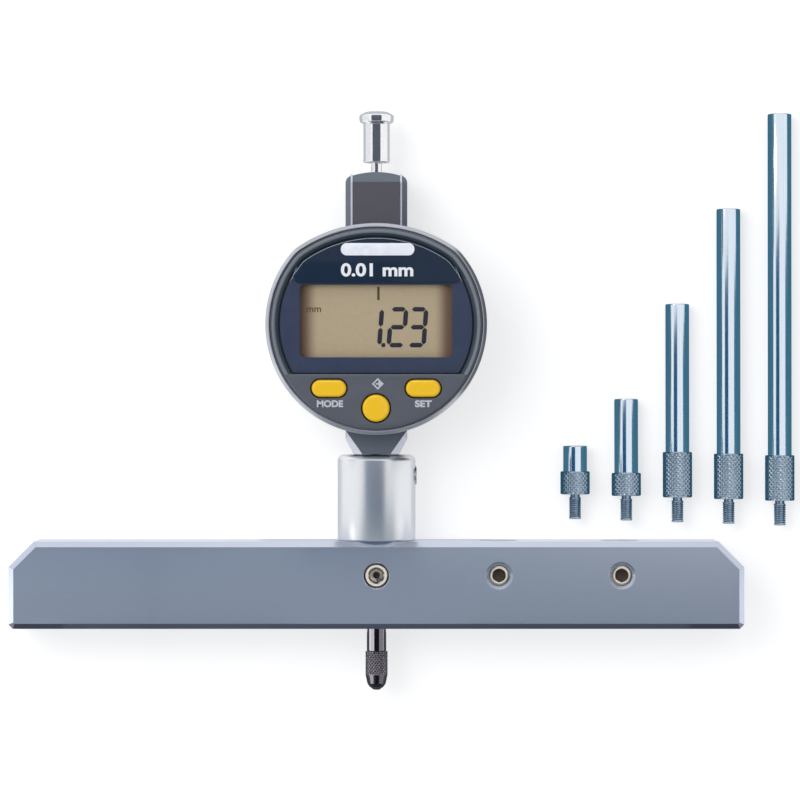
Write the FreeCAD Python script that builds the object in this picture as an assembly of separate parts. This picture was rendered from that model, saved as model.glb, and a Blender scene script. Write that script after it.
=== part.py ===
import FreeCAD, Part
import math
import os

os.makedirs("parts", exist_ok=True)

# Digital depth gauge on a long base bar, lying on its back beside its five extension rods.
# +X runs along the bar, +Y up the spindle towards the lifting cap, +Z out of the display.
# The origin is on the spindle's axis, level with the bar's measuring face. Lengths are millimetres.

# Shared fits
fit_clearance = 0.02
running_clearance = 0.03
thread_clearance = 0.03
panel_clearance = 0.05
cut_overrun = 1.0

# Base bar
base_length = 150.0
base_height = 17.8
base_depth = 16.0
base_top_corner = 5.2
base_bottom_corner = 0.9
base_face_bevel = 1.1
bore_radius = 4.0
bore_pitch = 25.0
spare_bore_count = 2

# Set screws in the bar's front face
set_screw_height_share = 0.6124
set_screw_radius = 2.5
set_screw_flats = 2.5
set_screw_socket_depth = 1.7
set_screw_sink_radius = 2.8
spare_screw_recess = 1.0
flush_screw_recess = 0.1

# Sleeve between the bar and the indicator's stem
sleeve_radius = 8.0
sleeve_height = 17.6
sleeve_top_chamfer = 0.8
sleeve_foot_chamfer = 0.4
spigot_recess = 2.8
passage_radius = 3.25
clamp_screw_radius = 2.0
clamp_screw_drop = 4.2
clamp_screw_proud = 0.25
clamp_screw_flats = 2.0
clamp_screw_socket_depth = 1.5

# Indicator stem and guide bushes
stem_radius = 4.0
stem_bore_radius = 3.0
stem_engagement = 11.0
stem_seat_gap = 0.3
stem_to_sleeve_gap = 0.2
stem_press_length = 5.9
lower_bush_length = 12.0
upper_bush_length = 1.9
upper_bush_radius = 2.9
wiper_thickness = 0.5
wiper_clearance = 0.06

# Spindle, contact point and lifting cap
spindle_radius = 2.0
spindle_travel = 13.0
spindle_end_below_face = 4.95
spindle_shoulder_gap = 1.8
thin_rod_radius = 1.1
thread_radius = 1.25
thread_hole_depth = 5.5
contact_knurl_radius = 2.28
contact_knurl_length = 5.15
contact_taper_length = 1.6
contact_taper_radius = 1.75
contact_ball_radius = 1.15
contact_ball_height = 0.4
contact_tip_below_face = 12.9
contact_stud_length = 4.6
contact_rim_chamfer = 0.3
cap_gap_above_case = 2.2
cap_barrel_radius = 2.72
cap_barrel_height = 7.8
cap_flange_radius = 3.55
cap_cone_height = 0.9
cap_flange_edge = 0.9
cap_crown_height = 0.9
cap_crown_radius = 1.9
cap_bore_depth = 5.6

# Head: a circle with a flattened crown, all in tangent arcs
head_radius = 22.4
crown_height_share = 0.9107
crown_arc_share = 1.2634
shoulder_share = 0.3571
head_front_z = 14.9
head_floor = 1.0
head_wall = 0.8
head_back_chamfer = 1.1
head_front_chamfer = 0.3
head_post_radius = 1.7
head_post_height = 1.6
head_screw_x_share = 0.675
head_screw_y_share = 0.35
head_screw_radius = 0.8
head_screw_head_radius = 1.6
head_screw_head_height = 0.9
head_screw_length = 3.4

# Indicator case, laid out behind the head
lower_neck_length = 4.0
upper_neck_length = 10.8
case_front_z = 6.8
case_wall = 1.5
case_front_wall = 1.3
drum_inset = 2.4
column_half_width = 6.3
column_foot_half_width = 4.65
column_foot_height = 3.2
column_top_dome = 0.7
column_corner_radius = 1.55
column_front_chamfer = 1.1
column_slope_depth = 1.4
cover_thickness = 1.4
gasket_thickness = 0.4
back_edge_chamfer = 0.6
cover_screw_circle_share = 0.81
cover_screw_count = 4
cover_boss_radius = 2.6
cover_screw_radius = 0.85
cover_screw_head_radius = 1.6
cover_screw_length = 6.0

# Dark plates on the front of the case's two necks
neck_plate_thickness = 0.5
upper_plate_margin = 0.36
upper_plate_drop = 2.1
lower_plate_top_margin = 0.1
lower_plate_foot_margin = 1.8
lower_plate_rise = 0.8
plate_overlap = 2.4

# Front bezel: the inner rim and the key panel in one piece, with a recess for the display
bezel_back_z = 12.8
bezel_front_z = 15.05
bezel_groove_z = 14.1
bezel_groove_width = 0.5
bezel_rim_width = 0.45
bezel_slope_inset = 3.0
bezel_ledge_width = 1.0
bezel_ledge_z = 13.4
key_panel_drop_share = 0.4509
opening_corner_radius = 0.6

# Display
display_panel_z = 14.3
window_width_share = 1.375
window_height_share = 0.654
window_rise_share = 0.0268
window_corner_radius = 1.0
window_pane_z = 14.15
crown_panel_z = 14.9
crown_panel_inset = 3.15
crown_panel_foot_share = 0.3705
crown_panel_corner = 1.2
lcd_side_margin = 1.8
lcd_end_margin = 1.6
lcd_back_z = 11.0
lcd_front_z = 12.7
contact_strip_end_gap = 2.2
contact_strip_width = 1.5
contact_strip_margin = 1.6

# Circuit boards and battery
board_thickness = 0.8
board_inset = 1.2
chip_half_width = 3.5
chip_half_height = 2.4
chip_thickness = 0.6
chip_spacing = 10.0
sensor_board_half_width = 4.8
sensor_board_half_height = 8.0
sensor_board_thickness = 1.0
header_half_width = 3.0
header_rise = 5.0
header_height = 2.4
header_clearance = 0.4
battery_radius_share = 0.5
battery_thickness_share = 0.2
battery_back_gap = 0.3
battery_opening_margin = 1.0
battery_lid_clearance = 0.1
battery_lid_recess = 0.1
battery_lug_reach = 1.2
battery_lug_half_width = 2.6
battery_lug_thickness = 0.5
battery_lug_count = 3
battery_lug_first_angle = 90.0
coin_slot_margin = 3.4
coin_slot_width = 1.8
coin_slot_depth = 0.7
holder_wall = 0.85
holder_clearance = 0.15
holder_floor = 0.4
holder_post_half_width = 0.9
contact_thickness = 0.15
contact_width = 4.0
contact_inset = 1.2
side_contact_half_width = 0.5

# Keys
key_switch_half_width = 2.2
key_switch_height = 0.7
membrane_thickness = 0.5
membrane_inset = 1.4
membrane_overlap = 0.6
key_travel = 0.4
key_press_gap = 0.1
key_guide_gap = 0.15
key_flange_width = 0.55
key_flange_height = 0.7
key_top_z = 15.65
key_top_chamfer = 0.35
long_key_width_share = 0.3125
long_key_height_share = 0.154
long_key_x_share = 0.4241
long_key_drop_share = 0.5804
round_key_share = 0.12277
round_key_drop_share = 0.7589

# Moving scale and return spring
carrier_foot_gap = 2.5
carrier_height = 16.0
carrier_half_width = 3.4
carrier_back_z = -1.4
carrier_front_z = 3.55
scale_half_width = 3.2
scale_length = 26.0
scale_thickness = 0.6
buffer_radius = 3.2
buffer_bore_radius = 2.3
buffer_gap = 0.3
guide_pin_radius = 0.8
guide_pin_above_foot = 8.0
guide_pin_reach_share = 0.335
guide_pin_seat = 0.9
rail_inner_share = 0.26
rail_outer_share = 0.4
rail_back_gap = 0.45
rail_web = 1.0
rail_slack = 2.0
spring_x_share = 0.31
spring_radius = 1.45
spring_bore_radius = 0.85
spring_post_radius = 0.6
spring_post_rise = 2.5
spring_post_tail = 1.6
carrier_ear_height = 2.0
carrier_ear_overhang = 1.6

# Extension rods, loose beside the gauge
rod_lengths = (10.0, 20.0, 40.0, 60.0, 80.0)
rod_short_knurl = 4.75
rod_long_knurl = 9.4
rod_long_from = 40.0
rod_body_radius = 2.45
rod_knurl_radius = 3.05
rod_stud_length = 5.15
rod_first_from_bar_end = 33.95
rod_pitch = 10.59
rod_first_tip_above_bar = 4.2
rod_tip_drop = 0.33

# Places worked out from the sizes above
X_DIR = FreeCAD.Vector(1, 0, 0)
Y_DIR = FreeCAD.Vector(0, 1, 0)
Z_DIR = FreeCAD.Vector(0, 0, 1)
table_z = -base_depth / 2
base_front_z = base_depth / 2
set_screw_y = base_height * set_screw_height_share
sleeve_top_y = base_height + sleeve_height
clamp_screw_y = sleeve_top_y - clamp_screw_drop
case_foot_y = sleeve_top_y + stem_to_sleeve_gap
stem_foot_y = case_foot_y - stem_engagement
stem_top_y = case_foot_y + stem_press_length
crown_height = head_radius * crown_height_share
crown_arc_radius = head_radius * crown_arc_share
shoulder_radius = head_radius * shoulder_share
head_centre_y = case_foot_y + lower_neck_length + head_radius
head_centre = FreeCAD.Vector(0, head_centre_y, 0)
drum_radius = head_radius - drum_inset
column_top_y = head_centre_y + crown_height + upper_neck_length
cover_screw_circle = drum_radius * cover_screw_circle_share
head_screw_x = drum_radius * head_screw_x_share
head_screw_dy = drum_radius * head_screw_y_share
cover_front_z = table_z + cover_thickness
case_back_z = cover_front_z + gasket_thickness
cavity_front_z = case_front_z - case_front_wall
cavity_top_y = column_top_y - wiper_thickness - upper_bush_length
drum_cavity_radius = drum_radius - case_wall
column_cavity_half_width = column_half_width - case_wall
upper_bush_foot_y = cavity_top_y
wiper_foot_y = upper_bush_foot_y + upper_bush_length
head_floor_front_z = case_front_z + head_floor
key_panel_top_y = head_centre_y - head_radius * key_panel_drop_share
window_width = head_radius * window_width_share
window_height = head_radius * window_height_share
window_centre_y = head_centre_y + head_radius * window_rise_share
crown_panel_foot_y = head_centre_y + head_radius * crown_panel_foot_share
lcd_half_width = window_width / 2 + lcd_side_margin
lcd_foot_y = window_centre_y - window_height / 2 - lcd_end_margin
lcd_top_y = window_centre_y + window_height / 2 + lcd_end_margin
header_foot_y = head_centre_y + header_rise
header_top_y = header_foot_y + header_height
board_back_z = head_floor_front_z + head_post_height
board_front_z = board_back_z + board_thickness
membrane_back_z = board_front_z + key_switch_height
membrane_front_z = membrane_back_z + membrane_thickness
membrane_top_y = key_panel_top_y + membrane_overlap
key_back_z = membrane_front_z + key_press_gap + key_travel
long_key_width = head_radius * long_key_width_share
long_key_height = head_radius * long_key_height_share
long_key_x = head_radius * long_key_x_share
long_key_y = head_centre_y - head_radius * long_key_drop_share
round_key_radius = head_radius * round_key_share
round_key_y = head_centre_y - head_radius * round_key_drop_share
spindle_foot_y = -spindle_end_below_face
spindle_shoulder_y = cavity_top_y - spindle_travel - spindle_shoulder_gap
contact_tip_y = -contact_tip_below_face
rail_inner_x = drum_radius * rail_inner_share
rail_outer_x = drum_radius * rail_outer_share
guide_pin_reach = drum_radius * guide_pin_reach_share
spring_x = -drum_radius * spring_x_share
carrier_foot_y = stem_top_y + carrier_foot_gap
carrier_top_y = carrier_foot_y + carrier_height
guide_pin_y = carrier_foot_y + guide_pin_above_foot
spring_post_y = carrier_foot_y + spring_post_rise
cap_foot_y = column_top_y + cap_gap_above_case
battery_radius = drum_radius * battery_radius_share
battery_opening_radius = battery_radius + battery_opening_margin
battery_lid_radius = battery_opening_radius - battery_lid_clearance
battery_lug_radius = battery_opening_radius + battery_lug_reach
battery_back_z = cover_front_z + battery_lid_recess + battery_back_gap
battery_front_z = battery_back_z + base_depth * battery_thickness_share
holder_front_z = battery_front_z + contact_thickness + holder_floor
rail_back_z = holder_front_z + rail_back_gap
rod_first_x = base_length / 2 - rod_first_from_bar_end
rod_first_tip_y = base_height + rod_first_tip_above_bar

def block(x0, x1, y0, y1, z0, z1):
    """A box between two corners."""
    return Part.makeBox(x1 - x0, y1 - y0, z1 - z0, FreeCAD.Vector(x0, y0, z0))


def disc_z(radius, z0, z1, x=0, y=0):
    """A cylinder standing on z0, along Z."""
    return Part.makeCylinder(radius, z1 - z0, FreeCAD.Vector(x, y, z0), Z_DIR)


def disc_y(radius, y0, y1, x=0, z=0):
    """A cylinder from y0 to y1, along the spindle."""
    return Part.makeCylinder(radius, y1 - y0, FreeCAD.Vector(x, y0, z), Y_DIR)


def turned(points):
    """A solid turned about the spindle's axis from straight runs between (radius, y) points."""
    corners = [FreeCAD.Vector(radius, y, 0) for radius, y in points]
    face = Part.Face(Part.makePolygon(corners + corners[:1]))
    return face.revolve(FreeCAD.Vector(0, 0, 0), Y_DIR, 360)


def plate(wire, z0, z1):
    """A flat outline at z zero, made a plate from z0 to z1."""
    face = Part.Face(wire)
    face.translate(FreeCAD.Vector(0, 0, z0))
    return face.extrude(FreeCAD.Vector(0, 0, z1 - z0))


def polygon(points):
    """A closed wire through (x, y) points."""
    corners = [FreeCAD.Vector(x, y, 0) for x, y in points]
    return Part.makePolygon(corners + corners[:1])


def polar(centre, radius, angle, z):
    """The point at an angle on a circle about a centre, lifted to z."""
    return FreeCAD.Vector(
        centre.x + radius * math.cos(angle), centre.y + radius * math.sin(angle), z
    )


def arc_about(centre, radius, start, end, z):
    """The arc from one angle to another about a centre."""
    middle = (start + end) / 2
    ends = (polar(centre, radius, start, z), polar(centre, radius, end, z))
    return Part.Arc(ends[0], polar(centre, radius, middle, z), ends[1]).toShape()


def head_wire(inset, z=0):
    """The head's outline drawn in by an inset: circle, two shoulder arcs and a flatter crown arc."""
    drop = crown_arc_radius - crown_height
    crown_centre = FreeCAD.Vector(0, head_centre_y - drop, 0)
    to_main = head_radius - shoulder_radius
    to_crown = crown_arc_radius - shoulder_radius
    rise = (to_crown**2 - to_main**2 - drop**2) / (2 * drop)
    side = math.sqrt(to_main**2 - rise**2)
    low = math.atan2(rise, side)
    high = math.atan2(rise + drop, side)
    right = FreeCAD.Vector(side, head_centre_y + rise, 0)
    left = FreeCAD.Vector(-side, head_centre_y + rise, 0)
    main = arc_about(
        head_centre, head_radius - inset, math.pi - low, 2 * math.pi + low, z
    )
    edges = [
        main,
        arc_about(right, shoulder_radius - inset, low, high, z),
        arc_about(crown_centre, crown_arc_radius - inset, high, math.pi - high, z),
        arc_about(left, shoulder_radius - inset, math.pi - high, math.pi - low, z),
    ]
    return Part.Wire(Part.__sortEdges__(edges))


def head_plate(inset, z0, z1):
    """A plate with the head's outline drawn in by an inset."""
    return plate(head_wire(inset), z0, z1)


def above(y, z0, z1):
    """Everything of the head's width above a level, as a cutter."""
    return block(
        -2 * head_radius, 2 * head_radius, y, head_centre_y + 2 * head_radius, z0, z1
    )


def below(y, z0, z1):
    """Everything of the head's width below a level, as a cutter."""
    return block(
        -2 * head_radius, 2 * head_radius, head_centre_y - 2 * head_radius, y, z0, z1
    )


def upright_edges(shape, y_low, y_high):
    """The straight edges along Z whose place lies between two levels of Y."""
    found = []
    for edge in shape.Edges:
        ends = [vertex.Point for vertex in edge.Vertexes]
        if len(ends) != 2:
            continue
        flat = FreeCAD.Vector(ends[1].x - ends[0].x, ends[1].y - ends[0].y, 0).Length
        if flat < fit_clearance and y_low < ends[0].y < y_high:
            found.append(edge)
    return found


def edges_at_z(shape, z):
    """The edges that lie wholly in one level of Z."""
    return [
        edge
        for edge in shape.Edges
        if abs(edge.BoundBox.ZMin - z) < fit_clearance
        and abs(edge.BoundBox.ZMax - z) < fit_clearance
    ]


def stadium(x, y, width, height):
    """A key's outline: two straight sides and two half-round ends."""
    half = height / 2
    reach = width / 2 - half
    right = FreeCAD.Vector(x + reach, y, 0)
    left = FreeCAD.Vector(x - reach, y, 0)
    upper = Part.LineSegment(
        FreeCAD.Vector(x + reach, y + half, 0), FreeCAD.Vector(x - reach, y + half, 0)
    )
    lower = Part.LineSegment(
        FreeCAD.Vector(x - reach, y - half, 0), FreeCAD.Vector(x + reach, y - half, 0)
    )
    edges = [
        arc_about(right, half, -math.pi / 2, math.pi / 2, 0),
        upper.toShape(),
        arc_about(left, half, math.pi / 2, 3 * math.pi / 2, 0),
        lower.toShape(),
    ]
    return Part.Wire(Part.__sortEdges__(edges))


def rounded_box(width, height, x, y, radius, z0, z1):
    """A plate with rounded corners about a centre."""
    flat = block(x - width / 2, x + width / 2, y - height / 2, y + height / 2, z0, z1)
    return flat.makeFillet(
        radius, upright_edges(flat, y - height, y + height)
    )


def hexagon(flats, depth, base, direction):
    """A hexagonal prism from a point along a direction, as the cutter of a socket."""
    corner = flats / math.sqrt(3)
    points = []
    for index in range(7):
        angle = index * math.pi / 3
        points.append(
            FreeCAD.Vector(corner * math.cos(angle), corner * math.sin(angle), 0)
        )
    prism = Part.Face(Part.makePolygon(points)).extrude(FreeCAD.Vector(0, 0, depth))
    turn = FreeCAD.Rotation(Z_DIR, direction)
    prism.Placement = FreeCAD.Placement(base, turn)
    return prism


def bore_places():
    """X of the working bore and of each spare bore."""
    return [index * bore_pitch for index in range(spare_bore_count + 1)]


def make_base():
    """The bar: cut top corners, bevelled faces, three upright bores and their set screw holes."""
    half = base_length / 2
    outline = polygon(
        [
            (-half + base_bottom_corner, 0),
            (half - base_bottom_corner, 0),
            (half, base_bottom_corner),
            (half, base_height - base_top_corner),
            (half - base_top_corner, base_height),
            (-half + base_top_corner, base_height),
            (-half, base_height - base_top_corner),
            (-half, base_bottom_corner),
        ]
    )
    bar = plate(outline, table_z, base_front_z)
    bevelled = edges_at_z(bar, base_front_z) + edges_at_z(bar, table_z)
    bar = bar.makeChamfer(base_face_bevel, bevelled)
    cutters = []
    for x in bore_places():
        cutters.append(
            disc_y(bore_radius, -cut_overrun, base_height + cut_overrun, x=x)
        )
        hole_radius = set_screw_radius + fit_clearance
        cutters.append(disc_z(hole_radius, 0, base_depth, x=x, y=set_screw_y))
        sink_depth = set_screw_sink_radius - hole_radius
        cutters.append(
            Part.makeCone(
                hole_radius,
                set_screw_sink_radius,
                sink_depth,
                FreeCAD.Vector(x, set_screw_y, base_front_z - sink_depth),
                Z_DIR,
            )
        )
    return bar.cut(Part.makeCompound(cutters)).removeSplitter()


def set_screw(x, recess):
    """A hollow-headed set screw from the bore's wall out to a recess below the bar's face."""
    front = base_front_z - recess
    body = disc_z(set_screw_radius, bore_radius, front, x=x, y=set_screw_y)
    base = FreeCAD.Vector(x, set_screw_y, front - set_screw_socket_depth)
    socket = hexagon(
        set_screw_flats, set_screw_socket_depth + cut_overrun, base, Z_DIR
    )
    return body.cut(socket)


def make_sleeve():
    """The round sleeve: a spigot down into the bar, a passage for the rods and a seat for the stem."""
    seat_y = stem_foot_y - stem_seat_gap
    spigot_radius = bore_radius - fit_clearance
    outer = disc_y(sleeve_radius, base_height, sleeve_top_y)
    top_edges = [edge for edge in outer.Edges if edge.BoundBox.YMin > sleeve_top_y - fit_clearance]
    outer = outer.makeChamfer(sleeve_top_chamfer, top_edges)
    foot_edges = [
        edge for edge in outer.Edges if edge.BoundBox.YMax < base_height + fit_clearance
    ]
    outer = outer.makeChamfer(sleeve_foot_chamfer, foot_edges)
    spigot = disc_y(spigot_radius, spigot_recess, base_height)
    passage = disc_y(passage_radius, spigot_recess - cut_overrun, sleeve_top_y)
    seat = disc_y(stem_radius + fit_clearance, seat_y, sleeve_top_y + cut_overrun)
    hole = Part.makeCylinder(
        clamp_screw_radius + fit_clearance,
        sleeve_radius + cut_overrun,
        FreeCAD.Vector(0, clamp_screw_y, 0),
        X_DIR,
    )
    return outer.fuse(spigot).cut(Part.makeCompound([passage, seat, hole])).removeSplitter()


def make_clamp_screw():
    """The set screw in the sleeve's right side that holds the stem."""
    length = sleeve_radius + clamp_screw_proud - stem_radius
    seat = FreeCAD.Vector(stem_radius, clamp_screw_y, 0)
    body = Part.makeCylinder(clamp_screw_radius, length, seat, X_DIR)
    socket_x = stem_radius + length - clamp_screw_socket_depth
    base = FreeCAD.Vector(socket_x, clamp_screw_y, 0)
    socket = hexagon(
        clamp_screw_flats, clamp_screw_socket_depth + cut_overrun, base, X_DIR
    )
    return body.cut(socket)


def make_stem():
    """The indicator's round stem, pressed up into the case's foot."""
    outer = disc_y(stem_radius, stem_foot_y, stem_top_y)
    bore = disc_y(stem_bore_radius, stem_foot_y - cut_overrun, stem_top_y + cut_overrun)
    return outer.cut(bore)


def ring_y(outer_radius, inner_radius, y0, y1):
    """A plain ring about the spindle's axis."""
    hole = disc_y(inner_radius, y0 - cut_overrun, y1 + cut_overrun)
    return disc_y(outer_radius, y0, y1).cut(hole)


def make_lower_bush():
    """The long guide bush in the foot of the stem."""
    return ring_y(
        stem_bore_radius - fit_clearance,
        spindle_radius + running_clearance,
        stem_foot_y,
        stem_foot_y + lower_bush_length,
    )


def make_upper_bush():
    """The short guide bush of the spindle's thin end, in the case's top."""
    return ring_y(
        upper_bush_radius,
        thin_rod_radius + running_clearance,
        upper_bush_foot_y,
        wiper_foot_y,
    )


def make_wiper():
    """The wiper ring that keeps dirt out above the upper bush."""
    return ring_y(
        upper_bush_radius,
        thin_rod_radius + wiper_clearance,
        wiper_foot_y,
        column_top_y - fit_clearance,
    )


def column_wire():
    """The column seen from the front: tapered foot, straight sides and a domed top."""
    corner_y = column_top_y - column_top_dome - column_corner_radius
    flat_x = column_half_width - column_corner_radius
    side_y = case_foot_y + column_foot_height
    spots = [
        (-column_half_width, corner_y),
        (-column_half_width, side_y),
        (-column_foot_half_width, case_foot_y),
        (column_foot_half_width, case_foot_y),
        (column_half_width, side_y),
        (column_half_width, corner_y),
    ]
    points = [FreeCAD.Vector(x, y, 0) for x, y in spots]
    edges = [
        Part.LineSegment(a, b).toShape() for a, b in zip(points, points[1:])
    ]
    right = FreeCAD.Vector(flat_x, corner_y, 0)
    left = FreeCAD.Vector(-flat_x, corner_y, 0)
    dome_side_y = column_top_y - column_top_dome
    dome = Part.Arc(
        FreeCAD.Vector(flat_x, dome_side_y, 0),
        FreeCAD.Vector(0, column_top_y, 0),
        FreeCAD.Vector(-flat_x, dome_side_y, 0),
    )
    edges.append(arc_about(right, column_corner_radius, 0, math.pi / 2, 0))
    edges.append(dome.toShape())
    edges.append(arc_about(left, column_corner_radius, math.pi / 2, math.pi, 0))
    return Part.Wire(Part.__sortEdges__(edges))


def case_plan(z0, z1):
    """The case's whole outline, drum and column together, as a plate."""
    drum = disc_z(drum_radius, z0, z1, y=head_centre_y)
    return drum.fuse(plate(column_wire(), z0, z1)).removeSplitter()


def cover_screw_places():
    """The back cover's screws, spread evenly on their circle between the axes."""
    places = []
    for index in range(cover_screw_count):
        angle = (2 * index + 1) * math.pi / cover_screw_count
        spot = polar(head_centre, cover_screw_circle, angle, 0)
        places.append((spot.x, spot.y))
    return places


def head_screw_places():
    """The two screws that join the head to the case, across from each other."""
    return [
        (side * head_screw_x, head_centre_y + side * head_screw_dy) for side in (-1, 1)
    ]


def case_hollow(z0, z1):
    """The hollow of the case: a round room and a narrow one for the spindle."""
    room = disc_z(drum_cavity_radius, z0, z1, y=head_centre_y)
    passage = block(
        -column_cavity_half_width,
        column_cavity_half_width,
        stem_top_y,
        cavity_top_y,
        z0,
        z1,
    )
    return room.fuse(passage)


def column_slope():
    """The wedge that slopes the column's front back from the upper plate to the domed top."""
    foot_y = column_top_y - upper_plate_drop
    end_y = column_top_y + cut_overrun
    end_z = case_front_z - column_slope_depth * (end_y - foot_y) / upper_plate_drop
    start_x = -column_half_width - cut_overrun
    spots = [
        (foot_y, case_front_z),
        (foot_y, case_front_z + cut_overrun),
        (end_y, case_front_z + cut_overrun),
        (end_y, end_z),
    ]
    corners = [FreeCAD.Vector(start_x, y, z) for y, z in spots]
    face = Part.Face(Part.makePolygon(corners + corners[:1]))
    return face.extrude(FreeCAD.Vector(-2 * start_x, 0, 0))


def make_case():
    """The case: a tray open at the back, with stem socket, bush seat, screw bosses and cable window."""
    column = plate(column_wire(), case_back_z, case_front_z)
    column = column.makeChamfer(column_front_chamfer, edges_at_z(column, case_front_z))
    column = column.cut(column_slope())
    drum = disc_z(drum_radius, case_back_z, case_front_z, y=head_centre_y)
    body = drum.fuse(column)
    bosses = [
        disc_z(cover_boss_radius, case_back_z - cut_overrun, cavity_front_z, x=x, y=y)
        for x, y in cover_screw_places()
    ]
    hollow = case_hollow(case_back_z - cut_overrun, cavity_front_z)
    cutters = [hollow.cut(Part.makeCompound(bosses))]
    cutters.append(
        disc_y(stem_radius + fit_clearance, case_foot_y - cut_overrun, stem_top_y + fit_clearance)
    )
    cutters.append(
        disc_y(
            upper_bush_radius + fit_clearance,
            cavity_top_y - cut_overrun,
            column_top_y + cut_overrun,
        )
    )
    for x, y in cover_screw_places():
        depth = case_back_z + cover_screw_length
        cutters.append(
            disc_z(cover_screw_radius + fit_clearance, case_back_z - cut_overrun, depth, x=x, y=y)
        )
    for x, y in head_screw_places():
        cutters.append(
            disc_z(
                head_screw_radius + fit_clearance,
                cavity_front_z - cut_overrun,
                case_front_z + cut_overrun,
                x=x,
                y=y,
            )
        )
    cutters.append(header_window(cavity_front_z - cut_overrun, case_front_z + cut_overrun))
    for cutter in cutters:
        body = body.cut(cutter)
    return body.removeSplitter()


def header_window(z0, z1):
    """The slot through the case's front and the head's floor that the header passes."""
    return block(
        -header_half_width - header_clearance,
        header_half_width + header_clearance,
        header_foot_y - header_clearance,
        header_top_y + header_clearance,
        z0,
        z1,
    )


def make_gasket():
    """The flat seal between the case and its back cover."""
    seal = case_plan(cover_front_z, case_back_z)
    return seal.cut(case_hollow(cover_front_z - cut_overrun, case_back_z + cut_overrun))


def make_back_cover():
    """The back cover, level with the bar's back, with a round battery opening and its screws' holes."""
    drum = disc_z(drum_radius, table_z, cover_front_z, y=head_centre_y)
    column = plate(column_wire(), table_z, cover_front_z)
    drum = drum.makeChamfer(back_edge_chamfer, edges_at_z(drum, table_z))
    column = column.makeChamfer(back_edge_chamfer, edges_at_z(column, table_z))
    cover = drum.fuse(column).removeSplitter()
    opening = disc_z(
        battery_opening_radius,
        table_z - cut_overrun,
        cover_front_z + cut_overrun,
        y=head_centre_y,
    )
    cover = cover.cut(opening)
    for x, y in cover_screw_places():
        hole = disc_z(
            cover_screw_head_radius + fit_clearance,
            table_z - cut_overrun,
            cover_front_z + cut_overrun,
            x=x,
            y=y,
        )
        cover = cover.cut(hole)
    return cover


def cover_screw(x, y):
    """One of the back cover's screws, its head sunk in the cover's thickness and seated on its boss."""
    head = disc_z(cover_screw_head_radius, table_z + fit_clearance, case_back_z, x=x, y=y)
    tip_z = case_back_z + cover_screw_length - fit_clearance
    return head.fuse(disc_z(cover_screw_radius, case_back_z, tip_z, x=x, y=y))


def make_upper_plate():
    """The dark plate on the front of the upper neck, running under the head."""
    half = column_half_width - column_front_chamfer - upper_plate_margin
    return block(
        -half,
        half,
        head_centre_y + crown_height - plate_overlap,
        column_top_y - upper_plate_drop,
        case_front_z,
        case_front_z + neck_plate_thickness,
    )


def make_lower_plate():
    """The dark V-shaped plate on the front of the lower neck, running under the head."""
    foot = column_foot_half_width - lower_plate_foot_margin
    top = column_half_width - lower_plate_top_margin
    bend_y = head_centre_y - head_radius + lower_plate_rise
    outline = polygon(
        [
            (-foot, case_foot_y),
            (foot, case_foot_y),
            (top, bend_y),
            (top, bend_y + plate_overlap),
            (-top, bend_y + plate_overlap),
            (-top, bend_y),
        ]
    )
    return plate(outline, case_front_z, case_front_z + neck_plate_thickness)


def make_head_shell():
    """The head's outer shell: a cup whose rim is the pale outer ring."""
    cup = head_plate(0, case_front_z, head_front_z)
    cup = cup.makeChamfer(head_back_chamfer, edges_at_z(cup, case_front_z))
    cup = cup.makeChamfer(head_front_chamfer, edges_at_z(cup, head_front_z))
    room = head_plate(head_wall, head_floor_front_z, head_front_z + cut_overrun)
    cup = cup.cut(room)
    for x, y in head_screw_places():
        post = disc_z(head_post_radius, case_front_z, board_back_z, x=x, y=y)
        cup = cup.fuse(post)
    for x, y in head_screw_places():
        hole = disc_z(
            head_screw_radius + fit_clearance,
            case_front_z - cut_overrun,
            board_back_z - fit_clearance,
            x=x,
            y=y,
        )
        cup = cup.cut(hole)
    plates = Part.makeCompound([make_upper_plate(), make_lower_plate()])
    cup = cup.cut(plates)
    window = header_window(case_front_z - cut_overrun, head_floor_front_z + cut_overrun)
    return cup.cut(window).removeSplitter()


def head_screw(x, y):
    """One of the screws from inside the case into the head's posts."""
    head = disc_z(
        head_screw_head_radius,
        cavity_front_z - head_screw_head_height,
        cavity_front_z,
        x=x,
        y=y,
    )
    tip_z = cavity_front_z + head_screw_length
    return head.fuse(disc_z(head_screw_radius, cavity_front_z, tip_z, x=x, y=y))


def bezel_opening(inset, foot_y, z0, z1):
    """The display's opening in the bezel: the head's outline above the key panel, rounded corners."""
    opening = head_plate(inset, z0, z1).common(above(foot_y, z0, z1))
    corners = upright_edges(opening, foot_y - fit_clearance, foot_y + fit_clearance)
    return opening.makeFillet(opening_corner_radius, corners)


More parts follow.
